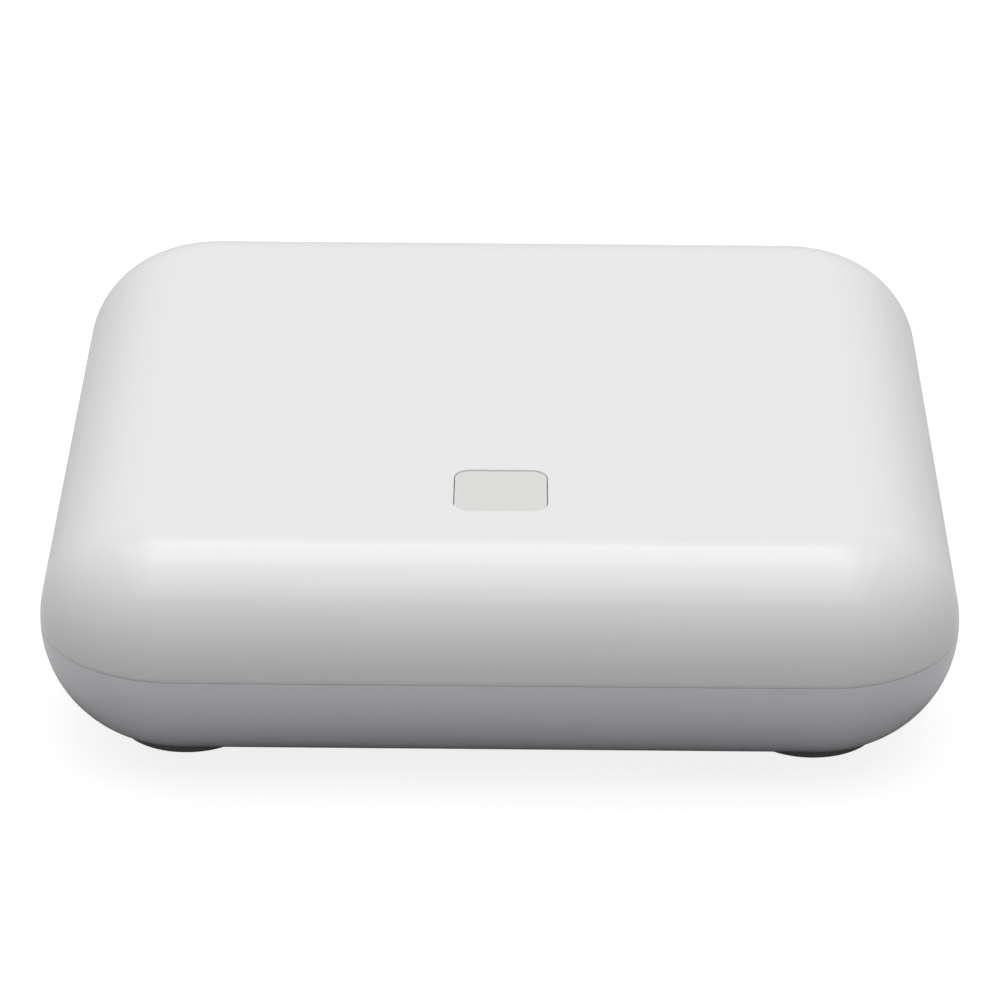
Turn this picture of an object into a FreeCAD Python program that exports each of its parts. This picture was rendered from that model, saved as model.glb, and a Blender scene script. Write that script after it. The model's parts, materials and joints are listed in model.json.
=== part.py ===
import FreeCAD, Part

import math
import os
import re

import Sketcher

# Alarm hub, a square table-top box with rounded edges.
# Millimetres, +Z up. The origin is on the table under the middle of the box,
# the button side is towards -Y and the sockets are towards +Y.

# Driving sizes
SIZES = {
    # case
    "case_width": 168.0,
    "case_depth": 168.0,
    "case_height": 43.3,
    "plan_radius": 26.1,
    "top_round": 20.25,
    "base_round": 22.8,
    "wall": 2.4,
    "parting_height": 22.1,
    "seam_gap": 0.15,
    "rim_land": 1.2,
    "lip_height": 1.6,
    "lip_clearance": 0.1,
    # feet
    "foot_proud": 1.7,
    "foot_diameter": 25.4,
    "foot_recess": 1.2,
    "foot_clearance": 0.1,
    "foot_edge": 0.6,
    "foot_inset_x": 26.4,
    "foot_inset_y": 30.1,
    # case screws
    "case_boss": 10.0,
    "case_boss_height": 7.9,
    "case_pillar": 8.0,
    "case_head": 5.8,
    "case_head_height": 2.2,
    "case_head_depth": 3.1,
    "case_shank": 3.0,
    "case_screw_bite": 10.0,
    "screw_clearance": 0.05,
    "head_clearance": 0.4,
    "passage_clearance": 0.2,
    # button
    "button_width": 17.0,
    "button_corner": 3.0,
    "button_gap": 0.2,
    "button_from_front": 36.65,
    "button_recess": 0.25,
    "button_skin": 1.4,
    "button_wall": 1.5,
    "button_edge": 0.25,
    "flange_overhang": 1.8,
    "flange_thickness": 1.0,
    "stem_diameter": 3.0,
    # button board and light box
    "button_board_drop": 5.6,
    "button_board_width": 42.0,
    "button_board_depth": 26.0,
    "board_thickness": 1.6,
    "light_box_clearance": 0.5,
    "light_box_wall": 1.4,
    "light_box_corner": 2.0,
    "button_boss": 5.0,
    "button_boss_reach": 16.5,
    "led_width": 3.5,
    "led_depth": 2.8,
    "led_height": 1.4,
    "led_reach": 6.6,
    # small switches
    "tact_width": 6.0,
    "tact_height": 3.5,
    "tact_proud": 0.8,
    "tact_plunger": 3.5,
    "tact_seat": 1.2,
    "tact_travel": 0.5,
    "plunger_clearance": 0.05,
    # sockets
    "port_bay_width": 68.0,
    "port_bay_depth": 18.0,
    "port_bay_height": 18.8,
    # main board
    "standoff_height": 5.0,
    "standoff_diameter": 6.0,
    "standoff_inset_x": 5.0,
    "standoff_inset_y": 6.0,
    "board_front": 8.0,
    "board_side_gap": 1.4,
    "board_rear_gap": 0.7,
    "board_corner": 2.0,
    "small_head": 4.6,
    "small_head_height": 1.8,
    "small_shank": 2.5,
    "small_bite": 4.5,
    "can_corner": 0.8,
    "can_height": 2.6,
    "processor_width": 26.0,
    "processor_depth": 26.0,
    "radio_width": 18.0,
    "radio_depth": 25.5,
    "cellular_width": 26.0,
    "cellular_depth": 29.0,
    "module_thickness": 1.0,
    "module_margin": 1.5,
    "radio_antenna_strip": 6.5,
    # ethernet socket
    "ethernet_x": 6.0,
    "ethernet_width": 16.2,
    "ethernet_height": 13.5,
    "ethernet_depth": 16.0,
    "shield_wall": 0.4,
    "plug_width": 11.8,
    "plug_height": 6.8,
    "plug_lift": 2.5,
    "plug_depth": 11.5,
    "latch_width": 6.2,
    "latch_height": 1.4,
    "insert_setback": 0.5,
    "ethernet_window_margin": 0.25,
    "contact_width": 0.5,
    "contact_pitch": 1.02,
    "contact_thickness": 0.25,
    "contact_length": 7.0,
    # power inlet
    "inlet_x": 25.0,
    "inlet_width": 9.0,
    "inlet_height": 9.6,
    "inlet_depth": 14.0,
    "inlet_nose": 8.0,
    "inlet_bore": 6.4,
    "inlet_bore_depth": 9.5,
    "inlet_pin": 2.0,
    "inlet_pin_setback": 1.0,
    # power slide switch
    "slide_x": -24.0,
    "slide_width": 10.0,
    "slide_depth": 5.0,
    "slide_height": 4.5,
    "slide_travel": 2.5,
    "lever_width": 2.0,
    "lever_height": 1.5,
    "lever_lift": 2.3,
    "lever_seat": 2.6,
    "lever_proud": 1.2,
    "lever_clearance": 0.06,
    # reset switch
    "reset_x": -9.5,
    "reset_hole": 1.8,
    "reset_gap": 0.4,
    # tamper pin
    "tamper_x": 28.0,
    "tamper_y": 20.0,
    "tamper_pin": 4.0,
    "tamper_flange": 7.0,
    "tamper_tip": 0.7,
    "tamper_edge": 0.5,
    # loudspeaker
    "speaker_from_left": 46.0,
    "speaker_cup_gap": 0.9,
    "speaker_diameter": 36.0,
    "gasket_width": 3.5,
    "gasket_thickness": 0.8,
    "speaker_flange": 1.0,
    "speaker_rim": 4.0,
    "speaker_ledge": 1.0,
    "basket_height": 5.0,
    "basket_radius": 13.0,
    "basket_wall": 1.2,
    "back_plate": 0.8,
    "magnet_diameter": 23.0,
    "magnet_height": 4.5,
    "cone_thickness": 0.3,
    "cone_neck": 5.0,
    "cone_rise": 2.8,
    "speaker_boss": 4.8,
    "speaker_boss_gap": 0.4,
    "speaker_head": 6.4,
    "speaker_head_height": 1.2,
    "speaker_shank": 2.0,
    "speaker_bite": 3.0,
    "grille_slot": 1.9,
    "grille_pitch": 3.9,
    "grille_radius": 13.4,
    # battery
    "battery_speaker_gap": 6.0,
    "battery_boss_gap": 0.6,
    "battery_width": 37.2,
    "battery_height": 18.5,
    "battery_clearance": 0.3,
    "battery_rib": 1.6,
    "battery_rib_length": 14.0,
    "battery_rib_height": 9.0,
    "clamp_width": 12.0,
    "clamp_thickness": 2.0,
    "clamp_tab": 8.0,
    "clamp_boss": 6.0,
    "clamp_boss_height": 7.9,
    # wall keyholes
    "keyhole_x": 45.0,
    "keyhole_board_gap": 0.9,
    "keyhole_head": 8.5,
    "keyhole_slot": 4.2,
    "keyhole_run": 7.0,
    "keyhole_room": 0.65,
    "keyhole_cup_height": 4.0,
    "keyhole_cup_wall": 1.2,
    # leads and connectors
    "connector_width": 12.0,
    "connector_depth": 4.0,
    "connector_height": 2.6,
    "connector_edge": 0.5,
    "ribbon_width": 9.0,
    "ribbon_thickness": 0.4,
    "ribbon_bend": 5.0,
    "ribbon_setback": 10.5,
    "antenna_length": 46.0,
    "antenna_width": 12.0,
    "antenna_thickness": 0.4,
    "antenna_x": 40.0,
    "antenna_y": 20.0,
}

FLOOR = "(foot_proud + wall)"
RIM = "(foot_proud + parting_height)"
TOP = "(foot_proud + case_height)"
CEILING = "(foot_proud + case_height - wall)"
PANEL_FACE = "(case_depth / 2 - port_bay_depth)"
PANEL_BACK = "(case_depth / 2 - port_bay_depth - wall)"
BOARD_BOTTOM = f"({FLOOR} + standoff_height)"
BOARD_TOP = f"({FLOOR} + standoff_height + board_thickness)"
BOARD_REAR = f"({PANEL_BACK} - board_rear_gap)"
BUTTON_Y = "(button_from_front - case_depth / 2)"
BUTTON_BOARD_TOP = f"({CEILING} - button_board_drop)"
BUTTON_BOARD_BOTTOM = f"({CEILING} - button_board_drop - board_thickness)"
SCREW_SEAT = "(foot_proud + foot_recess + case_head_depth)"
CASE_BOSS_TOP = f"({FLOOR} + case_boss_height)"
FLANGE_WIDTH = "(button_width + 2 * flange_overhang)"
GASKET_TOP = f"({FLOOR} + gasket_thickness)"
SPEAKER_SEAT = f"({FLOOR} + gasket_thickness + speaker_flange)"
BATTERY_TOP = f"({FLOOR} + battery_height)"
CLAMP_SEAT = f"({FLOOR} + clamp_boss_height)"

# The board lies between the pillars, and its modules share the width between its screws evenly
FOOT_X = "(case_width / 2 - foot_inset_x)"
FOOT_Y = "(case_depth / 2 - foot_inset_y)"
BOARD_WIDTH = f"(2 * ({FOOT_X} - case_boss / 2 - board_side_gap))"
MODULE_SPAN = f"({BOARD_WIDTH} - 2 * standoff_inset_x - small_head)"
MODULE_GAP = f"(({MODULE_SPAN} - radio_width - processor_width - cellular_width) / 4)"
RADIO_X = f"(radio_width / 2 + {MODULE_GAP} - {MODULE_SPAN} / 2)"
RADIO_Y = f"((board_front + {PANEL_BACK} - slide_depth) / 2)"
PROCESSOR_X = f"({RADIO_X} + radio_width / 2 + {MODULE_GAP} + processor_width / 2)"
PROCESSOR_Y = f"((board_front + connector_edge + connector_depth + {PANEL_BACK} - ethernet_depth) / 2)"
CELLULAR_X = f"({MODULE_SPAN} / 2 - {MODULE_GAP} - cellular_width / 2)"
CELLULAR_Y = f"((board_front + {PANEL_BACK} - inlet_depth) / 2)"

# In front of the board come the keyholes' cups, then the loudspeaker and the battery side by side
CUP_REACH = "(keyhole_head / 2 + keyhole_room + keyhole_cup_wall)"
KEYHOLE_Y = f"(board_front - keyhole_board_gap - {CUP_REACH})"
CUP_FRONT = f"({KEYHOLE_Y} - keyhole_run - {CUP_REACH})"
SPEAKER_X = "(speaker_from_left - case_width / 2)"
SPEAKER_Y = f"({CUP_FRONT} - speaker_cup_gap - speaker_diameter / 2)"
BATTERY_LEFT = f"({SPEAKER_X} + speaker_diameter / 2 + battery_speaker_gap)"
BATTERY_RIGHT = f"({FOOT_X} - case_boss / 2 - battery_boss_gap)"
BATTERY_LENGTH = f"({BATTERY_RIGHT} - {BATTERY_LEFT})"
BATTERY_X = f"(({BATTERY_LEFT} + {BATTERY_RIGHT}) / 2)"
BATTERY_Y = f"({CUP_FRONT} - battery_clearance - battery_width / 2)"

doc = FreeCAD.newDocument("AlarmHub")
sheet = doc.addObject("Spreadsheet::Sheet", "Sizes")
for row, (alias, value) in enumerate(SIZES.items(), 1):
    sheet.set(f"A{row}", alias)
    sheet.set(f"B{row}", str(value))
    sheet.setAlias(f"B{row}", alias)
doc.recompute()


# Helpers that bind sizes to the sheet
def formula(text):
    """Put the sheet's name before each size in an expression."""
    def named(match):
        word = match.group(0)
        return "Sizes." + word if word in SIZES else word
    return re.sub(r"[a-z_]+", named, text)


def value_of(text):
    """The number that an expression of sizes gives."""
    return float(sheet.evalExpression(formula(text)))


def bind(item, prop, text):
    item.setExpression(prop, formula(text))


def new_body(label):
    body = doc.addObject("PartDesign::Body", label)
    body.Label = label
    return body


def new_sketch(body, name, level, x="0", y="0", role="XY_Plane"):
    """An empty sketch, level above the plane, with its origin at x, y in it."""
    sketch = body.newObject("Sketcher::SketchObject", name)
    plane = [item for item in body.Origin.OriginFeatures if item.Role == role][0]
    sketch.AttachmentSupport = [(plane, "")]
    sketch.MapMode = "FlatFace"
    bind(sketch, "AttachmentOffset.Base.x", x)
    bind(sketch, "AttachmentOffset.Base.y", y)
    bind(sketch, "AttachmentOffset.Base.z", level)
    return sketch


def constrain(sketch, kind, places, name, text):
    """A named dimension that follows an expression."""
    index = sketch.addConstraint(Sketcher.Constraint(kind, *places, value_of(text)))
    sketch.renameConstraint(index, name)
    bind(sketch, f"Constraints.{name}", text)


def add_rectangle(sketch, width, depth):
    first = sketch.GeometryCount
    a = value_of(width) / 2
    b = value_of(depth) / 2
    corners = [FreeCAD.Vector(x, y, 0) for x, y in ((-a, -b), (a, -b), (a, b), (-a, b))]
    for side in range(4):
        sketch.addGeometry(Part.LineSegment(corners[side], corners[(side + 1) % 4]), False)
    for side in range(4):
        sketch.addConstraint(Sketcher.Constraint("Coincident", first + side, 2, first + (side + 1) % 4, 1))
        kind = "Vertical" if side % 2 else "Horizontal"
        sketch.addConstraint(Sketcher.Constraint(kind, first + side))
    sketch.addConstraint(Sketcher.Constraint("Symmetric", first, 1, first + 2, 1, -1, 1))
    constrain(sketch, "DistanceX", (first, 1, first, 2), f"width{first}", width)
    constrain(sketch, "DistanceY", (first + 1, 1, first + 1, 2), f"depth{first}", depth)


def add_round_rectangle(sketch, width, depth, radius):
    first = sketch.GeometryCount
    a = value_of(width) / 2
    b = value_of(depth) / 2
    r = value_of(radius)
    up = FreeCAD.Vector(0, 0, 1)
    centres = [FreeCAD.Vector(x, y, 0) for x, y in ((a - r, r - b), (a - r, b - r), (r - a, b - r), (r - a, r - b))]
    starts = [-math.pi / 2, 0, math.pi / 2, math.pi]
    for corner in range(4):
        before = centres[corner - 1]
        here = centres[corner]
        out = FreeCAD.Vector(math.cos(starts[corner]), math.sin(starts[corner]), 0) * r
        sketch.addGeometry(Part.LineSegment(before + out, here + out), False)
        arc = Part.ArcOfCircle(Part.Circle(here, up, r), starts[corner], starts[corner] + math.pi / 2)
        sketch.addGeometry(arc, False)
    for corner in range(4):
        line = first + 2 * corner
        arc = line + 1
        following = first + (2 * corner + 2) % 8
        sketch.addConstraint(Sketcher.Constraint("Tangent", line, 2, arc, 1))
        sketch.addConstraint(Sketcher.Constraint("Tangent", arc, 2, following, 1))
        if corner:
            sketch.addConstraint(Sketcher.Constraint("Equal", first + 1, arc))
    for line, kind in ((0, "Horizontal"), (4, "Horizontal"), (2, "Vertical"), (6, "Vertical")):
        sketch.addConstraint(Sketcher.Constraint(kind, first + line))
    sketch.addConstraint(Sketcher.Constraint("Symmetric", first + 1, 3, first + 5, 3, -1, 1))
    constrain(sketch, "Radius", (first + 1,), f"radius{first}", radius)
    constrain(sketch, "DistanceX", (first + 6, 1, first + 2, 1), f"width{first}", width)
    constrain(sketch, "DistanceY", (first, 1, first + 4, 1), f"depth{first}", depth)


def add_stadium(sketch, width, depth):
    """A bar with half-round ends: width along the sketch's x, depth across it."""
    r = value_of(depth) / 2
    a = value_of(width) / 2 - r
    up = FreeCAD.Vector(0, 0, 1)
    sketch.addGeometry(Part.LineSegment(FreeCAD.Vector(-a, -r, 0), FreeCAD.Vector(a, -r, 0)), False)
    right = Part.Circle(FreeCAD.Vector(a, 0, 0), up, r)
    sketch.addGeometry(Part.ArcOfCircle(right, -math.pi / 2, math.pi / 2), False)
    sketch.addGeometry(Part.LineSegment(FreeCAD.Vector(a, r, 0), FreeCAD.Vector(-a, r, 0)), False)
    left = Part.Circle(FreeCAD.Vector(-a, 0, 0), up, r)
    sketch.addGeometry(Part.ArcOfCircle(left, math.pi / 2, 3 * math.pi / 2), False)
    for item in range(4):
        sketch.addConstraint(Sketcher.Constraint("Tangent", item, 2, (item + 1) % 4, 1))
    sketch.addConstraint(Sketcher.Constraint("Horizontal", 0))
    sketch.addConstraint(Sketcher.Constraint("Symmetric", 1, 3, 3, 3, -1, 1))
    constrain(sketch, "Radius", (1,), "end_radius", f"({depth}) / 2")
    constrain(sketch, "DistanceX", (3, 3, 1, 3), "run", f"({width}) - ({depth})")


def add_discs(sketch, diameter, places):
    """Equal circles at a list of places, each a pair of expressions."""
    for x, y in places:
        number = sketch.GeometryCount
        centre = FreeCAD.Vector(value_of(x), value_of(y), 0)
        circle = Part.Circle(centre, FreeCAD.Vector(0, 0, 1), value_of(diameter) / 2)
        sketch.addGeometry(circle, False)
        constrain(sketch, "Diameter", (number,), f"diameter{number}", diameter)
        constrain(sketch, "DistanceX", (-1, 1, number, 3), f"x{number}", x)
        constrain(sketch, "DistanceY", (-1, 1, number, 3), f"y{number}", y)


def add_polygon(sketch, points):
    """A closed outline whose corners are each a pair of expressions."""
    corners = [FreeCAD.Vector(value_of(x), value_of(y), 0) for x, y in points]
    count = len(corners)
    for side in range(count):
        sketch.addGeometry(Part.LineSegment(corners[side], corners[(side + 1) % count]), False)
    for side in range(count):
        sketch.addConstraint(Sketcher.Constraint("Coincident", side, 2, (side + 1) % count, 1))
    for side, (x, y) in enumerate(points):
        constrain(sketch, "DistanceX", (-1, 1, side, 1), f"x{side}", x)
        constrain(sketch, "DistanceY", (-1, 1, side, 1), f"y{side}", y)


def pad(body, sketch, length, flip=False):
    feature = body.newObject("PartDesign::Pad", sketch.Name + "_pad")
    feature.Profile = sketch
    feature.Reversed = flip
    bind(feature, "Length", length)
    sketch.Visibility = False
    return feature


def pocket(body, sketch, depth, flip=False):
    """Cut from the sketch against its normal, or along it when flipped."""
    doc.recompute()
    before = body.Shape.Volume
    feature = body.newObject("PartDesign::Pocket", sketch.Name + "_cut")
    feature.Profile = sketch
    feature.Reversed = flip
    bind(feature, "Length", depth)
    doc.recompute()
    if feature.Shape.Volume >= before:
        raise RuntimeError(f"{sketch.Name} cuts nothing from {body.Label}")
    return feature


def revolve(body, sketch):
    feature = body.newObject("PartDesign::Revolution", sketch.Name + "_turn")
    feature.Profile = sketch
    feature.ReferenceAxis = (sketch, ["V_Axis"])
    feature.Angle = 360
    return feature


def flat_edges(shape, level):
    """Names of the edges that lie in the plane z = level."""
    height = value_of(level)
    return [
        f"Edge{number}"
        for number, edge in enumerate(shape.Edges, 1)
        if abs(edge.BoundBox.ZMin - height) < 1e-4 and abs(edge.BoundBox.ZMax - height) < 1e-4
    ]


def flat_faces(shape, level):
    height = value_of(level)
    return [
        f"Face{number}"
        for number, face in enumerate(shape.Faces, 1)
        if abs(face.BoundBox.ZMin - height) < 1e-4 and abs(face.BoundBox.ZMax - height) < 1e-4
    ]


def round_edges(body, feature, level, radius):
    doc.recompute()
    fillet = body.newObject("PartDesign::Fillet", feature.Name + "_round")
    fillet.Base = (feature, flat_edges(feature.Shape, level))
    bind(fillet, "Radius", radius)
    doc.recompute()
    return fillet


def bevel_edges(body, feature, level, size):
    doc.recompute()
    chamfer = body.newObject("PartDesign::Chamfer", feature.Name + "_bevel")
    chamfer.Base = (feature, flat_edges(feature.Shape, level))
    bind(chamfer, "Size", size)
    doc.recompute()
    return chamfer


def hollow_out(body, feature, open_level):
    """A wall of even thickness inside the solid, open at one flat face."""
    doc.recompute()
    shell = body.newObject("PartDesign::Thickness", "even_wall")
    shell.Base = (feature, flat_faces(feature.Shape, open_level))
    shell.Reversed = True
    bind(shell, "Value", "wall")
    doc.recompute()
    return shell


def block(label, width, depth, height, level, x="0", y="0", corner=None, flip=False):
    """A flat-sided piece that stands on a level."""
    body = new_body(label)
    sketch = new_sketch(body, label + "_outline", level, x, y)
    if corner:
        add_round_rectangle(sketch, width, depth, corner)
    else:
        add_rectangle(sketch, width, depth)
    pad(body, sketch, height, flip)
    return body


def screw_group(label, places, seat, head, head_height, shank, reach, upward):
    """Equal screws that share one node: heads on one side of the seat, shanks on the other."""
    body = new_body(label)
    heads = new_sketch(body, label + "_heads", seat)
    add_discs(heads, head, places)
    pad(body, heads, head_height, flip=upward)
    shanks = new_sketch(body, label + "_shanks", seat)
    add_discs(shanks, shank, places)
    pad(body, shanks, reach, flip=not upward)
    return body


def tact_switch(label, level, x, y, role="XY_Plane", flip=False):
    """A small press switch and, in its well, the plunger that moves."""
    side = "-" if flip else "+"
    switch = new_body(label)
    base = new_sketch(switch, label + "_base", level, x, y, role)
    add_rectangle(base, "tact_width", "tact_width")
    pad(switch, base, "tact_height", flip)
    well = new_sketch(switch, label + "_well", f"{level} {side} tact_height", x, y, role)
    add_discs(well, "tact_plunger + 2 * plunger_clearance", [("0", "0")])
    pocket(switch, well, "tact_seat + tact_travel + plunger_clearance", flip)
    plunger = new_body(label + "_plunger")
    disc = new_sketch(plunger, label + "_tip", f"{level} {side} (tact_height - tact_seat)", x, y, role)
    add_discs(disc, "tact_plunger", [("0", "0")])
    pad(plunger, disc, "tact_seat + tact_proud", flip)


# Places that several pieces share
FOOT_PLACES = {
    "front_left": (f"-{FOOT_X}", f"-{FOOT_Y}"),
    "front_right": (FOOT_X, f"-{FOOT_Y}"),
    "rear_left": (f"-{FOOT_X}", FOOT_Y),
    "rear_right": (FOOT_X, FOOT_Y),
}
STANDOFF_PLACES = [
    (f"{side} * ({BOARD_WIDTH} / 2 - standoff_inset_x)", y)
    for side in (-1, 1)
    for y in ("board_front + standoff_inset_y", f"{BOARD_REAR} - standoff_inset_y")
]
BUTTON_SCREW_PLACES = [(f"{side} * button_boss_reach", BUTTON_Y) for side in (-1, 1)]
SPEAKER_SCREW_REACH = "(speaker_diameter / 2 + speaker_boss_gap + speaker_boss / 2)"
SPEAKER_SCREW_PLACES = [
    (
        f"{SPEAKER_X} + {SPEAKER_SCREW_REACH} * cos({angle})",
        f"{SPEAKER_Y} + {SPEAKER_SCREW_REACH} * sin({angle})",
    )
    for angle in (30, 150, 270)
]
CLAMP_REACH = "(battery_width / 2 + battery_clearance + clamp_thickness + clamp_tab / 2)"
CLAMP_PLACES = [(BATTERY_X, f"{BATTERY_Y} + {side} * {CLAMP_REACH}") for side in (-1, 1)]
KEYHOLE_PLACES = [f"{side} * keyhole_x" for side in (-1, 1)]


# Base shell: a moulded tray with a bay for the sockets in its rear edge
def make_base_shell():
    body = new_body("base_shell")
    outline = new_sketch(body, "base_outline", "foot_proud")
    add_round_rectangle(outline, "case_width", "case_depth", "plan_radius")
    blank = pad(body, outline, "case_height")
    round_edges(body, blank, "foot_proud", "min(base_round; plan_radius - wall / 2)")
    above = new_sketch(body, "above_rim", RIM)
    add_rectangle(above, "2 * case_width", "2 * case_depth")
    pocket(body, above, "case_height", flip=True)
    bay = new_sketch(body, "port_bay", "foot_proud + port_bay_height", "0", "case_depth / 2")
    add_rectangle(bay, "port_bay_width", "2 * port_bay_depth")
    bay_cut = pocket(body, bay, "port_bay_height + foot_proud")
    hollow_out(body, bay_cut, RIM)

    lip = new_sketch(body, "lip", RIM)
    inset = "2 * (rim_land + lip_clearance)"
    lip_radius = "plan_radius - rim_land - lip_clearance"
    add_round_rectangle(lip, f"case_width - {inset}", f"case_depth - {inset}", lip_radius)
    add_round_rectangle(lip, "case_width - 2 * wall", "case_depth - 2 * wall", "plan_radius - wall")
    pad(body, lip, "lip_height")

    root = f"{FLOOR} - wall / 4"
    sunk = "wall / 4"
    case_bosses = new_sketch(body, "case_bosses", root)
    add_discs(case_bosses, "case_boss", FOOT_PLACES.values())
    pad(body, case_bosses, f"case_boss_height + {sunk}")
    standoffs = new_sketch(body, "standoffs", root)
    add_discs(standoffs, "standoff_diameter", STANDOFF_PLACES)
    pad(body, standoffs, f"standoff_height + {sunk}")
    speaker_bosses = new_sketch(body, "speaker_bosses", root)
    add_discs(speaker_bosses, "speaker_boss", SPEAKER_SCREW_PLACES)
    pad(body, speaker_bosses, f"gasket_thickness + speaker_flange + {sunk}")
    clamp_bosses = new_sketch(body, "clamp_bosses", root)
    add_discs(clamp_bosses, "clamp_boss", CLAMP_PLACES)
    pad(body, clamp_bosses, f"clamp_boss_height + {sunk}")
    for side in (-1, 1):
        reach = f"{side} * ({BATTERY_LENGTH} / 2 + battery_clearance + battery_rib / 2)"
        rib = new_sketch(body, "battery_rib", root, f"{BATTERY_X} + {reach}", BATTERY_Y)
        add_rectangle(rib, "battery_rib", "battery_rib_length")
        pad(body, rib, f"battery_rib_height + {sunk}")

    cup_inner_width = "keyhole_head + 2 * keyhole_room"
    cup_inner_length = f"{cup_inner_width} + keyhole_run"
    middle = f"{KEYHOLE_Y} - keyhole_run / 2"
    for x in KEYHOLE_PLACES:
        cup = new_sketch(body, "keyhole_cup", root, x, middle)
        walls = "2 * keyhole_cup_wall"
        add_rectangle(cup, f"{cup_inner_width} + {walls}", f"{cup_inner_length} + {walls}")
        pad(body, cup, f"keyhole_cup_height + keyhole_cup_wall + {sunk}")
        room = new_sketch(body, "keyhole_room", FLOOR, x, middle)
        add_rectangle(room, cup_inner_width, cup_inner_length)
        pocket(body, room, "keyhole_cup_height", flip=True)
        head = new_sketch(body, "keyhole_head", FLOOR, x, KEYHOLE_Y)
        add_discs(head, "keyhole_head", [("0", "0")])
        pocket(body, head, "2 * wall")
        slot = new_sketch(body, "keyhole_slot", FLOOR, x, middle)
        quarter_turn = FreeCAD.Rotation(FreeCAD.Vector(0, 0, 1), 90)
        slot.AttachmentOffset = FreeCAD.Placement(FreeCAD.Vector(), quarter_turn)
        bind(slot, "AttachmentOffset.Base.x", x)
        bind(slot, "AttachmentOffset.Base.y", middle)
        bind(slot, "AttachmentOffset.Base.z", FLOOR)
        add_stadium(slot, "keyhole_run + keyhole_slot", "keyhole_slot")
        pocket(body, slot, "2 * wall")

    recesses = new_sketch(body, "foot_recesses", "foot_proud + foot_recess")
    add_discs(recesses, "foot_diameter + 2 * foot_clearance", FOOT_PLACES.values())
    pocket(body, recesses, "foot_recess + foot_proud")
    head_wells = new_sketch(body, "head_wells", SCREW_SEAT)
    add_discs(head_wells, "case_head + 2 * head_clearance", FOOT_PLACES.values())
    pocket(body, head_wells, "case_head_depth")
    passages = new_sketch(body, "screw_passages", CASE_BOSS_TOP)
    add_discs(passages, "case_shank + 2 * passage_clearance", FOOT_PLACES.values())
    pocket(body, passages, f"{CASE_BOSS_TOP} - {SCREW_SEAT} + passage_clearance")

    pilot = "2 * screw_clearance"
    standoff_pilots = new_sketch(body, "standoff_pilots", BOARD_BOTTOM)
    add_discs(standoff_pilots, f"small_shank + {pilot}", STANDOFF_PLACES)
    pocket(body, standoff_pilots, "small_bite")
    speaker_pilots = new_sketch(body, "speaker_pilots", SPEAKER_SEAT)
    add_discs(speaker_pilots, f"speaker_shank + {pilot}", SPEAKER_SCREW_PLACES)
    pocket(body, speaker_pilots, "speaker_bite")
    clamp_pilots = new_sketch(body, "clamp_pilots", CLAMP_SEAT)
    add_discs(clamp_pilots, f"small_shank + {pilot}", CLAMP_PLACES)
    pocket(body, clamp_pilots, "small_bite")

    for step in range(-3, 4):
        slot = new_sketch(body, "grille_slot", FLOOR, SPEAKER_X, f"{SPEAKER_Y} + {step} * grille_pitch")
        length = f"2 * sqrt(grille_radius ^ 2 - ({step} * grille_pitch) ^ 2)"
        add_stadium(slot, length, "grille_slot")
        pocket(body, slot, "2 * wall")
    tamper_hole = new_sketch(body, "tamper_hole", FLOOR, "tamper_x", "tamper_y")
    add_discs(tamper_hole, "tamper_pin + 2 * plunger_clearance", [("0", "0")])
    pocket(body, tamper_hole, "2 * wall")
    cut_port_panel(body)


def cut_port_panel(body):
    """Openings in the upright panel at the back of the port bay."""
    behind = f"-{PANEL_BACK}"
    plug_centre = f"{BOARD_TOP} + plug_lift + plug_height / 2 - latch_height / 2"
    margin = "2 * ethernet_window_margin"
    window = new_sketch(body, "ethernet_window", behind, "ethernet_x", plug_centre, "XZ_Plane")
    add_rectangle(window, f"plug_width + {margin}", f"plug_height + latch_height + {margin}")
    pocket(body, window, "2 * wall")
    inlet_centre = f"{BOARD_TOP} + inlet_height / 2"
    inlet = new_sketch(body, "inlet_hole", behind, "inlet_x", inlet_centre, "XZ_Plane")
    add_discs(inlet, "inlet_nose + 2 * passage_clearance", [("0", "0")])
    pocket(body, inlet, "2 * wall")
    slot = new_sketch(body, "slide_slot", behind, "slide_x", f"{BOARD_TOP} + lever_lift", "XZ_Plane")
    clearance = "2 * lever_clearance"
    add_rectangle(slot, f"lever_width + slide_travel + {clearance}", f"lever_height + {clearance}")
    pocket(body, slot, "2 * wall")
    reset = new_sketch(body, "reset_hole", behind, "reset_x", f"{BOARD_TOP} + tact_width / 2", "XZ_Plane")
    add_discs(reset, "reset_hole", [("0", "0")])
    pocket(body, reset, "2 * wall")


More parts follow.
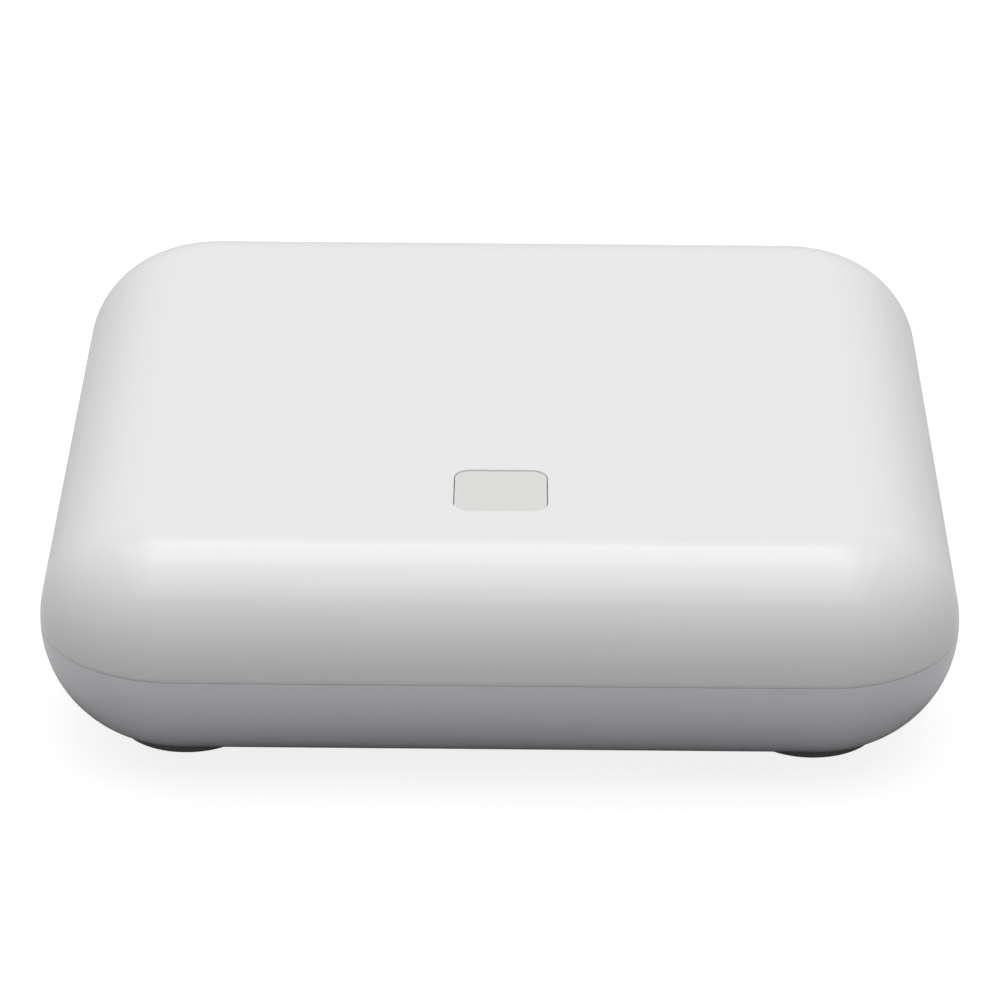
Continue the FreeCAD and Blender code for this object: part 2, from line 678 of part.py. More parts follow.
# Top shell: the rounded lid with the button opening and the screw pillars
def make_top_shell():
    body = new_body("top_shell")
    rim = f"{RIM} + seam_gap"
    outline = new_sketch(body, "top_outline", rim)
    add_round_rectangle(outline, "case_width", "case_depth", "plan_radius")
    blank = pad(body, outline, f"{TOP} - ({rim})")
    limit = "min(plan_radius; case_height - parting_height) - wall / 4"
    lid = round_edges(body, blank, TOP, f"min(top_round; {limit})")
    hollow_out(body, lid, rim)

    rebate = new_sketch(body, "rebate", rim)
    land = "2 * rim_land"
    add_round_rectangle(rebate, f"case_width - {land}", f"case_depth - {land}", "plan_radius - rim_land")
    pocket(body, rebate, "lip_height - seam_gap", flip=True)

    pillars = new_sketch(body, "case_pillars", CASE_BOSS_TOP)
    add_discs(pillars, "case_pillar", FOOT_PLACES.values())
    pad(body, pillars, f"{CEILING} + wall / 4 - {CASE_BOSS_TOP}")
    button_bosses = new_sketch(body, "button_bosses", BUTTON_BOARD_TOP)
    add_discs(button_bosses, "button_boss", BUTTON_SCREW_PLACES)
    pad(body, button_bosses, "button_board_drop + wall / 4")

    pilot = "2 * screw_clearance"
    pillar_pilots = new_sketch(body, "pillar_pilots", CASE_BOSS_TOP)
    add_discs(pillar_pilots, f"case_shank + {pilot}", FOOT_PLACES.values())
    pocket(body, pillar_pilots, "case_screw_bite + passage_clearance", flip=True)
    button_pilots = new_sketch(body, "button_pilots", BUTTON_BOARD_TOP)
    add_discs(button_pilots, f"speaker_shank + {pilot}", BUTTON_SCREW_PLACES)
    pocket(body, button_pilots, "small_bite", flip=True)

    window = new_sketch(body, "button_window", TOP, "0", BUTTON_Y)
    across = "button_width + 2 * button_gap"
    add_round_rectangle(window, across, across, "button_corner + button_gap")
    pocket(body, window, "2 * wall")


# Button with its switch, lamps and light box under the lid
def make_button():
    cap = new_body("button_cap")
    plate = new_sketch(cap, "cap_outline", f"{CEILING} - flange_thickness", "0", BUTTON_Y)
    add_round_rectangle(plate, "button_width", "button_width", "button_corner")
    face = pad(cap, plate, "flange_thickness + wall - button_recess")
    round_edges(cap, face, f"{TOP} - button_recess", "button_edge")
    flange = new_sketch(cap, "cap_flange", f"{CEILING} - flange_thickness", "0", BUTTON_Y)
    add_round_rectangle(flange, FLANGE_WIDTH, FLANGE_WIDTH, "button_corner + flange_overhang")
    pad(cap, flange, "flange_thickness")
    well = new_sketch(cap, "cap_well", f"{CEILING} - flange_thickness", "0", BUTTON_Y)
    inner = "button_width - 2 * button_wall"
    add_round_rectangle(well, inner, inner, "button_corner / 2")
    pocket(cap, well, "flange_thickness + wall - button_recess - button_skin", flip=True)
    plunger_top = f"{BUTTON_BOARD_TOP} + tact_height + tact_proud"
    stem = new_sketch(cap, "cap_stem", plunger_top, "0", BUTTON_Y)
    add_discs(stem, "stem_diameter", [("0", "0")])
    pad(cap, stem, f"{TOP} - button_recess - button_skin / 2 - ({plunger_top})")

    board = block(
        "button_board", "button_board_width", "button_board_depth", "board_thickness",
        BUTTON_BOARD_BOTTOM, "0", BUTTON_Y, "board_corner",
    )
    holes = new_sketch(board, "button_board_holes", BUTTON_BOARD_TOP)
    add_discs(holes, "speaker_shank + 2 * passage_clearance", BUTTON_SCREW_PLACES)
    pocket(board, holes, "2 * board_thickness")
    screw_group(
        "button_board_screws", BUTTON_SCREW_PLACES, BUTTON_BOARD_BOTTOM, "small_head", "small_head_height",
        "speaker_shank", "board_thickness + small_bite - passage_clearance", upward=True,
    )
    tact_switch("button_switch", BUTTON_BOARD_TOP, "0", BUTTON_Y)

    leds = new_body("button_leds")
    for along in (-1, 1):
        for across in (-1, 1):
            x = f"{along} * led_reach"
            y = f"{BUTTON_Y} + {across} * led_reach"
            lamp = new_sketch(leds, "led", BUTTON_BOARD_TOP, x, y)
            add_rectangle(lamp, "led_width", "led_depth")
            pad(leds, lamp, "led_height")

    light_box = new_body("light_box")
    tube = new_sketch(light_box, "light_box_outline", BUTTON_BOARD_TOP, "0", BUTTON_Y)
    inside = f"{FLANGE_WIDTH} + 2 * light_box_clearance"
    outside = f"{inside} + 2 * light_box_wall"
    corner = "light_box_corner + light_box_wall"
    add_round_rectangle(tube, outside, outside, corner)
    add_round_rectangle(tube, inside, inside, "light_box_corner")
    pad(light_box, tube, "button_board_drop")


# Main board with its modules
def make_main_board():
    depth = f"{BOARD_REAR} - board_front"
    middle = f"({BOARD_REAR} + board_front) / 2"
    board = block(
        "main_board", BOARD_WIDTH, depth, "board_thickness", BOARD_BOTTOM, "0", middle, "board_corner"
    )
    holes = new_sketch(board, "board_holes", BOARD_TOP)
    add_discs(holes, "small_shank + 2 * passage_clearance", STANDOFF_PLACES)
    pocket(board, holes, "2 * board_thickness")
    screw_group(
        "main_board_screws", STANDOFF_PLACES, BOARD_TOP, "small_head", "small_head_height",
        "small_shank", "board_thickness + small_bite - passage_clearance", upward=False,
    )
    block(
        "processor_shield", "processor_width", "processor_depth", "can_height", BOARD_TOP,
        PROCESSOR_X, PROCESSOR_Y, "can_corner",
    )
    block("radio_module", "radio_width", "radio_depth", "module_thickness", BOARD_TOP, RADIO_X, RADIO_Y)
    can = "2 * module_margin"
    block(
        "radio_shield", f"radio_width - {can}", f"radio_depth - {can} - radio_antenna_strip", "can_height",
        f"{BOARD_TOP} + module_thickness", RADIO_X, f"{RADIO_Y} + radio_antenna_strip / 2", "can_corner",
    )
    block(
        "cellular_module", "cellular_width", "cellular_depth", "module_thickness", BOARD_TOP,
        CELLULAR_X, CELLULAR_Y,
    )
    block(
        "cellular_shield", f"cellular_width - {can}", f"cellular_depth - {can}", "can_height",
        f"{BOARD_TOP} + module_thickness", CELLULAR_X, CELLULAR_Y, "can_corner",
    )
    for side, label in ((-1, "radio_antenna"), (1, "cellular_antenna")):
        block(
            label, "antenna_width", "antenna_length", "antenna_thickness", CEILING,
            f"{side} * antenna_x", "antenna_y", flip=True,
        )


# Sockets and switches in the port bay
def make_ethernet_jack():
    middle = f"{BOARD_TOP} + ethernet_height / 2"
    shield = new_body("ethernet_shield")
    tube = new_sketch(shield, "shield_tube", f"-{PANEL_BACK}", "ethernet_x", middle, "XZ_Plane")
    thin = "2 * shield_wall"
    add_rectangle(tube, "ethernet_width", "ethernet_height")
    add_rectangle(tube, f"ethernet_width - {thin}", f"ethernet_height - {thin}")
    pad(shield, tube, "ethernet_depth", flip=False)

    insert = new_body("ethernet_insert")
    front = f"insert_setback - {PANEL_BACK}"
    core = new_sketch(insert, "insert_core", front, "ethernet_x", middle, "XZ_Plane")
    add_rectangle(core, f"ethernet_width - {thin}", f"ethernet_height - {thin}")
    pad(insert, core, "ethernet_depth - insert_setback")
    plug_middle = f"{BOARD_TOP} + plug_lift + plug_height / 2"
    plug = new_sketch(insert, "plug_space", front, "ethernet_x", plug_middle, "XZ_Plane")
    add_rectangle(plug, "plug_width", "plug_height")
    pocket(insert, plug, "plug_depth", flip=True)
    latch_middle = f"{BOARD_TOP} + plug_lift - latch_height / 2"
    latch = new_sketch(insert, "latch_space", front, "ethernet_x", latch_middle, "XZ_Plane")
    add_rectangle(latch, "latch_width", "latch_height")
    pocket(insert, latch, "plug_depth", flip=True)

    contacts = new_body("ethernet_contacts")
    top = f"{BOARD_TOP} + plug_lift + plug_height - contact_thickness / 2"
    behind = f"insert_setback + plug_depth - {PANEL_BACK}"
    for number in range(8):
        x = f"ethernet_x + {number - 3.5} * contact_pitch"
        blade = new_sketch(contacts, "contact", behind, x, top, "XZ_Plane")
        add_rectangle(blade, "contact_width", "contact_thickness")
        pad(contacts, blade, "contact_length", flip=True)


def make_power_inlet():
    middle = f"{BOARD_TOP} + inlet_height / 2"
    inlet = new_body("power_inlet")
    housing = new_sketch(inlet, "inlet_housing", f"-{PANEL_BACK}", "inlet_x", middle, "XZ_Plane")
    add_rectangle(housing, "inlet_width", "inlet_height")
    pad(inlet, housing, "inlet_depth")
    nose = new_sketch(inlet, "inlet_nose", f"-{PANEL_FACE}", "inlet_x", middle, "XZ_Plane")
    add_discs(nose, "inlet_nose", [("0", "0")])
    pad(inlet, nose, "wall + inlet_pin")
    bore = new_sketch(inlet, "inlet_bore", f"-{PANEL_FACE}", "inlet_x", middle, "XZ_Plane")
    add_discs(bore, "inlet_bore", [("0", "0")])
    pocket(inlet, bore, "inlet_bore_depth", flip=True)
    pin = new_body("power_inlet_pin")
    rod = new_sketch(pin, "inlet_rod", f"inlet_pin_setback - {PANEL_FACE}", "inlet_x", middle, "XZ_Plane")
    add_discs(rod, "inlet_pin", [("0", "0")])
    pad(pin, rod, "inlet_bore_depth - inlet_pin_setback")


def make_power_switch():
    middle = f"{PANEL_BACK} - slide_depth / 2"
    switch = block(
        "power_switch", "slide_width", "slide_depth", "slide_height", BOARD_TOP, "slide_x", middle
    )
    clearance = "2 * lever_clearance"
    height = f"{BOARD_TOP} + lever_lift"
    slot = new_sketch(switch, "lever_slot", f"-{PANEL_BACK}", "slide_x", height, "XZ_Plane")
    add_rectangle(slot, f"lever_width + slide_travel + {clearance}", f"lever_height + {clearance}")
    pocket(switch, slot, "lever_seat + lever_clearance", flip=True)
    lever = new_body("power_switch_lever")
    tip = f"-({PANEL_FACE} + lever_proud)"
    bar = new_sketch(lever, "lever_bar", tip, "slide_x - slide_travel / 2", height, "XZ_Plane")
    add_rectangle(bar, "lever_width", "lever_height")
    pad(lever, bar, "lever_proud + wall + lever_seat")


def make_reset_switch():
    back = f"-({PANEL_BACK} - reset_gap - tact_proud - tact_height)"
    tact_switch("reset_switch", back, "reset_x", f"{BOARD_TOP} + tact_width / 2", "XZ_Plane", flip=True)


def make_tamper_switch():
    tact_switch("tamper_switch", BOARD_BOTTOM, "tamper_x", "tamper_y", flip=True)
    pin = new_body("tamper_pin")
    shaft = new_sketch(pin, "tamper_shaft", "tamper_tip", "tamper_x", "tamper_y")
    add_discs(shaft, "tamper_pin", [("0", "0")])
    rod = pad(pin, shaft, f"{FLOOR} - tamper_tip")
    bevel_edges(pin, rod, "tamper_tip", "tamper_edge")
    flange = new_sketch(pin, "tamper_flange", FLOOR, "tamper_x", "tamper_y")
    add_discs(flange, "tamper_flange", [("0", "0")])
    pad(pin, flange, "standoff_height - tact_height - tact_proud")


# Loudspeaker over the grille in the floor
def make_speaker():
    centre = (SPEAKER_X, SPEAKER_Y)
    gasket = new_body("speaker_gasket")
    ring = new_sketch(gasket, "gasket_ring", FLOOR, *centre)
    add_discs(ring, "speaker_diameter", [("0", "0")])
    add_discs(ring, "speaker_diameter - 2 * gasket_width", [("0", "0")])
    pad(gasket, ring, "gasket_thickness")

    half = "speaker_diameter / 2"
    seat = GASKET_TOP
    plate = f"{seat} + basket_height"
    rim = f"({half} - speaker_rim)"
    frame_points = [
        (half, seat),
        (half, f"{seat} + speaker_flange"),
        (f"{rim} + basket_wall", f"{seat} + speaker_flange"),
        ("basket_radius", plate),
        ("basket_radius", f"{plate} + back_plate"),
        ("cone_neck", f"{plate} + back_plate"),
        ("cone_neck", plate),
        ("basket_radius - basket_wall", plate),
        (f"{rim} - speaker_ledge", f"{seat} + speaker_flange"),
        (f"{rim} - speaker_ledge", f"{seat} + speaker_flange / 2"),
        (rim, f"{seat} + speaker_flange / 2"),
        (rim, seat),
    ]
    frame = new_body("speaker_frame")
    turn_at_speaker(frame, "frame_profile", frame_points)

    low = f"{seat} + speaker_flange / 2 - cone_thickness"
    high = f"{low} + cone_rise"
    cone_points = [
        (f"{rim} - lip_clearance", low),
        (f"{rim} - lip_clearance", f"{low} + cone_thickness"),
        (f"{rim} - 2 * speaker_ledge", f"{low} + cone_thickness"),
        ("cone_neck", f"{high} + cone_thickness"),
        ("0", f"{high} + cone_thickness"),
        ("0", high),
        ("cone_neck", high),
        (f"{rim} - 2 * speaker_ledge", low),
    ]
    cone = new_body("speaker_cone")
    turn_at_speaker(cone, "cone_profile", cone_points)

    magnet = new_body("speaker_magnet")
    disc = new_sketch(magnet, "magnet_disc", f"{plate} + back_plate", *centre)
    add_discs(disc, "magnet_diameter", [("0", "0")])
    pad(magnet, disc, "magnet_height")
    screw_group(
        "speaker_screws", SPEAKER_SCREW_PLACES, SPEAKER_SEAT, "speaker_head", "speaker_head_height",
        "speaker_shank", "speaker_bite - passage_clearance", upward=False,
    )


def turn_at_speaker(body, name, points):
    """Revolve a profile of radius and height about the loudspeaker's axis."""
    profile = new_sketch(body, name, f"-{SPEAKER_Y}", SPEAKER_X, "0", "XZ_Plane")
    add_polygon(profile, points)
    revolve(body, profile)


# Battery pack and the clamp over it
def make_battery():
    pack = new_body("battery_pack")
    section = new_sketch(
        pack, "pack_section", BATTERY_LEFT, BATTERY_Y, f"{FLOOR} + battery_height / 2", "YZ_Plane"
    )
    add_stadium(section, "battery_width", "battery_height")
    pad(pack, section, BATTERY_LENGTH)

    clamp = new_body("battery_clamp")
    inner = "battery_width / 2 + battery_clearance"
    roof = new_sketch(clamp, "clamp_roof", BATTERY_TOP, BATTERY_X, BATTERY_Y)
    add_rectangle(roof, "clamp_width", f"2 * ({inner} + clamp_thickness)")
    pad(clamp, roof, "clamp_thickness")
    for side in (-1, 1):
        leg_y = f"{BATTERY_Y} + {side} * ({inner} + clamp_thickness / 2)"
        leg = new_sketch(clamp, "clamp_leg", CLAMP_SEAT, BATTERY_X, leg_y)
        add_rectangle(leg, "clamp_width", "clamp_thickness")
        pad(clamp, leg, f"{BATTERY_TOP} + clamp_thickness - {CLAMP_SEAT}")
        tab_y = f"{BATTERY_Y} + {side} * {CLAMP_REACH}"
        tab = new_sketch(clamp, "clamp_tab", CLAMP_SEAT, BATTERY_X, tab_y)
        add_rectangle(tab, "clamp_width", "clamp_tab")
        pad(clamp, tab, "clamp_thickness")
    holes = new_sketch(clamp, "clamp_holes", f"{CLAMP_SEAT} + clamp_thickness")
    add_discs(holes, "small_shank + 2 * passage_clearance", CLAMP_PLACES)
    pocket(clamp, holes, "2 * clamp_thickness")
    screw_group(
        "clamp_screws", CLAMP_PLACES, f"{CLAMP_SEAT} + clamp_thickness", "small_head", "small_head_height",
        "small_shank", "clamp_thickness + small_bite - passage_clearance", upward=False,
    )


# Flat cable from the button board down to the main board
def make_ribbon():
    near = f"{BUTTON_Y} + button_board_depth / 2 - connector_depth / 2"
    block(
        "button_connector", "connector_width", "connector_depth", "connector_height",
        BUTTON_BOARD_BOTTOM, "0", near, flip=True,
    )
    far = "board_front + connector_edge + connector_depth / 2"
    block(
        "ribbon_connector", "connector_width", "connector_depth", "connector_height", BOARD_TOP, "0", far
    )
    start_y = value_of(f"{near} + connector_depth / 2")
    start_z = value_of(f"{BUTTON_BOARD_BOTTOM} - connector_height / 2")
    end_y = value_of(f"{far} - connector_depth / 2")
    end_z = value_of(f"{BOARD_TOP} + connector_height / 2")
    drop_y = value_of("board_front - ribbon_setback")
    bend = value_of("ribbon_bend")
    half = value_of("ribbon_thickness / 2")
    width = value_of("ribbon_width")

    def point(y, z):
        return FreeCAD.Vector(-width / 2, y, z)

    def side_line(offset):
        """One face of the cable: three runs joined by two quarter turns."""
        upper = bend + offset
        lower = bend - offset
        slant = math.sqrt(0.5)
        turn_up = (drop_y - bend, start_z - bend)
        turn_down = (drop_y + bend, end_z + bend)
        first = point(start_y, start_z + offset)
        second = point(turn_up[0], start_z + offset)
        third = point(drop_y + offset, turn_up[1])
        fourth = point(drop_y + offset, turn_down[1])
        fifth = point(turn_down[0], end_z + offset)
        sixth = point(end_y, end_z + offset)
        upper_middle = point(turn_up[0] + upper * slant, turn_up[1] + upper * slant)
        lower_middle = point(turn_down[0] - lower * slant, turn_down[1] - lower * slant)
        return [
            Part.LineSegment(first, second).toShape(),
            Part.Arc(second, upper_middle, third).toShape(),
            Part.LineSegment(third, fourth).toShape(),
            Part.Arc(fourth, lower_middle, fifth).toShape(),
            Part.LineSegment(fifth, sixth).toShape(),
        ]

    above = side_line(half)
    below = side_line(-half)
    ends = [
        Part.LineSegment(point(start_y, start_z - half), point(start_y, start_z + half)).toShape(),
        Part.LineSegment(point(end_y, end_z - half), point(end_y, end_z + half)).toShape(),
    ]
    outline = Part.Wire(Part.__sortEdges__(above + below + ends))
    cable = doc.addObject("Part::Feature", "ribbon_cable")
    cable.Label = "ribbon_cable"
    cable.Shape = Part.Face(outline).extrude(FreeCAD.Vector(width, 0, 0))


# Feet and the screws that they hide
def make_feet():
    for corner, (x, y) in FOOT_PLACES.items():
        foot = new_body("foot_" + corner)
        disc = new_sketch(foot, "foot_disc", "0", x, y)
        add_discs(disc, "foot_diameter", [("0", "0")])
        solid = pad(foot, disc, "foot_proud + foot_recess")
        bevel_edges(foot, solid, "0", "foot_edge")
    bite = f"{CASE_BOSS_TOP} - {SCREW_SEAT} + case_screw_bite"
    screw_group(
        "case_screws", list(FOOT_PLACES.values()), SCREW_SEAT, "case_head", "case_head_height",
        "case_shank", bite, upward=True,
    )


make_base_shell()
make_top_shell()
make_button()
make_main_board()
make_ethernet_jack()
make_power_inlet()
make_power_switch()
make_reset_switch()
make_tamper_switch()
make_speaker()
make_battery()
make_ribbon()
make_feet()
doc.recompute()

# Check every object before anything is written
for item in doc.Objects:
    if "Invalid" in item.State or "Error" in item.State:
        raise RuntimeError(f"{item.Label} failed: {item.State}")
pieces = [item for item in doc.Objects if item.TypeId in ("PartDesign::Body", "Part::Feature")]
for piece in pieces:
    if piece.Shape.isNull() or not piece.Shape.isValid() or not piece.Shape.Solids:
        raise RuntimeError(f"{piece.Label} has no valid solid")

os.makedirs("parts", exist_ok=True)
for piece in pieces:
    piece.Shape.exportStep(os.path.join("parts", piece.Label + ".step"))
    box = piece.Shape.BoundBox
    print(
        f"{piece.Label}: {len(piece.Shape.Solids)} solid(s), {piece.Shape.Volume:.1f} mm3,"
        f" z {box.ZMin:.2f} to {box.ZMax:.2f}"
    )
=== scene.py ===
# %% [markdown]
# # A white alarm hub
# The hub is a square box with one large, even round on all its edges. A lid and a tray meet at a
# fine seam, a grey button sits flush in the lid, and the box stands on four rubber feet.
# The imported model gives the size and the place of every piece, so the first step is to load it.

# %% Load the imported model
import json
import math

import bmesh
import bpy
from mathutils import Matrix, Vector


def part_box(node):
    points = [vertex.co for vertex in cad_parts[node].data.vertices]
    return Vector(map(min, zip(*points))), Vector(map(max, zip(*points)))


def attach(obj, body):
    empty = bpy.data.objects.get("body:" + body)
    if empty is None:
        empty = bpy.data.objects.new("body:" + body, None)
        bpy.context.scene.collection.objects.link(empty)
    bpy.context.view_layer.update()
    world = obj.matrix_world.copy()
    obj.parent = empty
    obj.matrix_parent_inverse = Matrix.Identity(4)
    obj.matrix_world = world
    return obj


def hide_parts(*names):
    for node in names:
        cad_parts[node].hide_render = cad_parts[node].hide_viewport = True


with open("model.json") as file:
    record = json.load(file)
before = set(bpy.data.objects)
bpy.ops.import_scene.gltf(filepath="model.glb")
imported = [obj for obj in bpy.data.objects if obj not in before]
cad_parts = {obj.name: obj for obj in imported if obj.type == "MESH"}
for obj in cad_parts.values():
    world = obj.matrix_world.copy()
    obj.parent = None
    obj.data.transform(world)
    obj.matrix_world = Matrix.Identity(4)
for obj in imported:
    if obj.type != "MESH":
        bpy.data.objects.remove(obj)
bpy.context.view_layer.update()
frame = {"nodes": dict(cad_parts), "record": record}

nodes = frame["nodes"]

# %% [markdown]
# ## Sizes
# Blender works in metres here. The few sizes that can't be read from a node's box are the radii of
# the mouldings and the height of the seam, so they are named once and used by every piece. Sharp
# moulded edges are broken by a tiny round, drawn with one point between its two ends.

# %% Sizes of the mouldings
MM = 0.001
MICRON = 1e-6
low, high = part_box("base_shell")
HALF = high.x
BASE_BOTTOM = low.z
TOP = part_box("top_shell")[1].z
PLAN_RADIUS = 26.1 * MM
TOP_ROUND = 20.25 * MM
WALL = 2.4 * MM
SEAM = BASE_BOTTOM + 22.1 * MM
SEAM_GAP = 0.05 * MM
RIM_LAND = 1.2 * MM
LIP_TOP = high.z
EDGE = 0.12 * MM
EDGE_BEND = 0.3 * EDGE
print("case", HALF * 2, "wide, seam at", SEAM, "top at", TOP)

# %% [markdown]
# ## Carrying a section round the box
# A moulded shell looks the same wherever it is cut across its wall, so it can be made from one
# section. The section is drawn once as a chain of points, each with its inset from the side and its
# height. Then it is extruded along a straight side and spun round a corner, four times over, and the
# last edge is welded to the first. Extrude and spin keep the rows of faces even, which matters on a
# glossy surface, where every bump in the mesh shows in the highlight.

# %% A section as a chain of edges
def chain(bm, points):
    """Vertices and the edges between them, in order."""
    verts = [bm.verts.new(point) for point in points]
    return verts, [bm.edges.new(pair) for pair in zip(verts, verts[1:])]


def chain_edges(verts, geometry):
    """The edges of an extrusion whose two ends are both new vertices."""
    inside = set(verts)
    return [
        item for item in geometry
        if isinstance(item, bmesh.types.BMEdge) and item.verts[0] in inside and item.verts[1] in inside
    ]


# %% [markdown]
# Each side and the corner after it are one turn of the loop below. The spins carry a little rounding
# error with them, so the weld at the end reaches a micrometre far, which is still much less than the
# smallest edge of a section.

# %% Carry a section round a rounded rectangle
CORNER_STEPS = 32
WELD = 1 * MICRON


def carry_round(bm, section, half_x, half_y, radius, centre=(0.0, 0.0), steps=CORNER_STEPS):
    """Faces that follow a section of (inset, height) points round the outline."""
    cx, cy = centre
    straight_x = half_x - radius
    straight_y = half_y - radius
    start = [(cx - straight_x, cy - half_y + inset, z) for inset, z in section]
    verts, edges = chain(bm, start)
    turns = [
        ((2 * straight_x, 0, 0), (straight_x, -straight_y)),
        ((0, 2 * straight_y, 0), (straight_x, straight_y)),
        ((-2 * straight_x, 0, 0), (-straight_x, straight_y)),
        ((0, -2 * straight_y, 0), (-straight_x, -straight_y)),
    ]
    for run, corner in turns:
        out = bmesh.ops.extrude_edge_only(bm, edges=edges)["geom"]
        verts = [item for item in out if isinstance(item, bmesh.types.BMVert)]
        edges = chain_edges(verts, out)
        bmesh.ops.translate(bm, verts=verts, vec=run)
        middle = (cx + corner[0], cy + corner[1], 0)
        last = bmesh.ops.spin(
            bm, geom=verts + edges, cent=middle, axis=(0, 0, 1), angle=math.pi / 2, steps=steps,
            use_merge=False, use_duplicate=False,
        )["geom_last"]
        verts = [item for item in last if isinstance(item, bmesh.types.BMVert)]
        edges = [item for item in last if isinstance(item, bmesh.types.BMEdge)]
    bmesh.ops.remove_doubles(bm, verts=bm.verts, dist=WELD)


print("each corner turns in", CORNER_STEPS, "steps")

# %% [markdown]
# A section is made of straight runs and rounds, so one helper gives the points of a round. Another
# closes the level face that is left open where a carried section ends, round a window if there is one.


# %% Rounds and level faces
SAME_HEIGHT = 0.1 * MICRON


def arc(centre, radius, first, last, steps):
    """Points of a section's round, from one angle to another, in degrees."""
    angles = [math.radians(first + (last - first) * step / steps) for step in range(steps + 1)]
    return [(centre[0] - radius * math.cos(a), centre[1] + radius * math.sin(a)) for a in angles]


def fill_level(bm, height, up):
    """Close the flat opening at one height, with any window in it left open."""
    rim = [
        edge for edge in bm.edges
        if edge.is_boundary and all(abs(vert.co.z - height) < SAME_HEIGHT for vert in edge.verts)
    ]
    bmesh.ops.triangle_fill(bm, use_beauty=True, use_dissolve=False, edges=rim, normal=(0, 0, up))


# %% [markdown]
# The last helper hands a finished mesh over: it welds and orients the faces, shades them smooth with
# crisp corners, gives the material, puts the piece on its body and hides the imported pieces it stands for.


# %% Finish a piece
SHARP_ANGLE = 35


def finish_piece(bm, name, body, material, stands_for):
    """Turn a bmesh into a piece that rides on a body, with smooth shading and crisp corners."""
    bmesh.ops.remove_doubles(bm, verts=bm.verts, dist=WELD)
    bmesh.ops.recalc_face_normals(bm, faces=bm.faces)
    open_edges = sum(1 for edge in bm.edges if not edge.is_manifold)
    mesh = bpy.data.meshes.new(name)
    bm.to_mesh(mesh)
    bm.free()
    mesh.shade_smooth()
    mesh.set_sharp_from_angle(angle=math.radians(SHARP_ANGLE))
    piece = bpy.data.objects.new(name, mesh)
    bpy.context.scene.collection.objects.link(piece)
    mesh.materials.append(material)
    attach(piece, body)
    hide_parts(*stands_for)
    print(name, len(mesh.polygons), "faces,", open_edges, "open edges")


# %% [markdown]
# ## Surface effects shared by the materials
# A moulded surface is never perfectly even: its colour drifts a little, its gloss has faint patches,
# and a very fine grain breaks up the reflections. One node group makes all three from noise in the
# object's own coordinates, so the pattern stays put whatever the camera does. Each material places
# the group with its own numbers. First come a few helpers, so that each node takes a line or two.


# %% Helpers for node trees
def new_group(name, inputs, outputs):
    """An empty group, the sockets that it is given, and the node that takes its results."""
    group = bpy.data.node_groups.new(name, "ShaderNodeTree")
    for label, kind, value in inputs:
        socket = group.interface.new_socket(name=label, in_out="INPUT", socket_type=kind)
        socket.default_value = value
    for label, kind in outputs:
        group.interface.new_socket(name=label, in_out="OUTPUT", socket_type=kind)
    return group, group.nodes.new("NodeGroupInput").outputs, group.nodes.new("NodeGroupOutput")


def feed(tree, socket, item):
    """Link a socket to another node's output, or set its own value."""
    if isinstance(item, bpy.types.NodeSocket):
        tree.links.new(item, socket)
    else:
        socket.default_value = item


def fill_in(tree, node, **values):
    """Set a node's properties and feed its inputs, each under its own name."""
    for key, value in values.items():
        if key in node.bl_rna.properties:
            setattr(node, key, value)
        else:
            feed(tree, node.inputs[key.replace("_", " ")], value)
    return node


def add_node(tree, kind, **values):
    return fill_in(tree, tree.nodes.new(kind), **values)


# %% [markdown]
# The effects below are all built from four simple parts: a sum or product, a cloudy noise, a colour made
# lighter or darker, and a fine relief.


# %% The parts of the effects
def math_node(tree, operation, first, second):
    """One step of arithmetic on two values, each a socket or a number."""
    node = add_node(tree, "ShaderNodeMath", operation=operation)
    feed(tree, node.inputs[0], first)
    feed(tree, node.inputs[1], second)
    return node.outputs[0]


def noise(tree, place, scale, detail):
    """A grey cloud pattern whose scale is a socket or a number."""
    return add_node(tree, "ShaderNodeTexNoise", Vector=place, Scale=scale, Detail=detail).outputs["Fac"]


def centred(tree, value, amount):
    """(value - 0.5) times an amount, for a change both ways."""
    return math_node(tree, "MULTIPLY", math_node(tree, "SUBTRACT", value, 0.5), amount)


def shaded(tree, colour, shade):
    """A colour times a brightness near one."""
    return add_node(tree, "ShaderNodeVectorMath", operation="SCALE", Vector=colour, Scale=shade).outputs[0]


def relief(tree, height, strength, depth):
    """The normal of a surface with a fine relief, whose depth is in metres."""
    return add_node(tree, "ShaderNodeBump", Height=height, Strength=strength, Distance=depth).outputs[0]


# %% [markdown]
# In the skin group a broad noise makes the colour drift, a finer one makes the gloss patchy, and a very
# fine one is the grain. Specks are the middles of the cells of a Voronoi pattern, kept only where
# another noise is high, so that they are few and scattered.


# %% A node group for moulded skins
DRIFT_SCALE = 28.0
PATCH_SCALE = 60.0
SPECK_CELLS = 420.0
SPECK_RADIUS = 0.12
SPECK_REGIONS = 95.0
SPECK_RARITY = 0.74


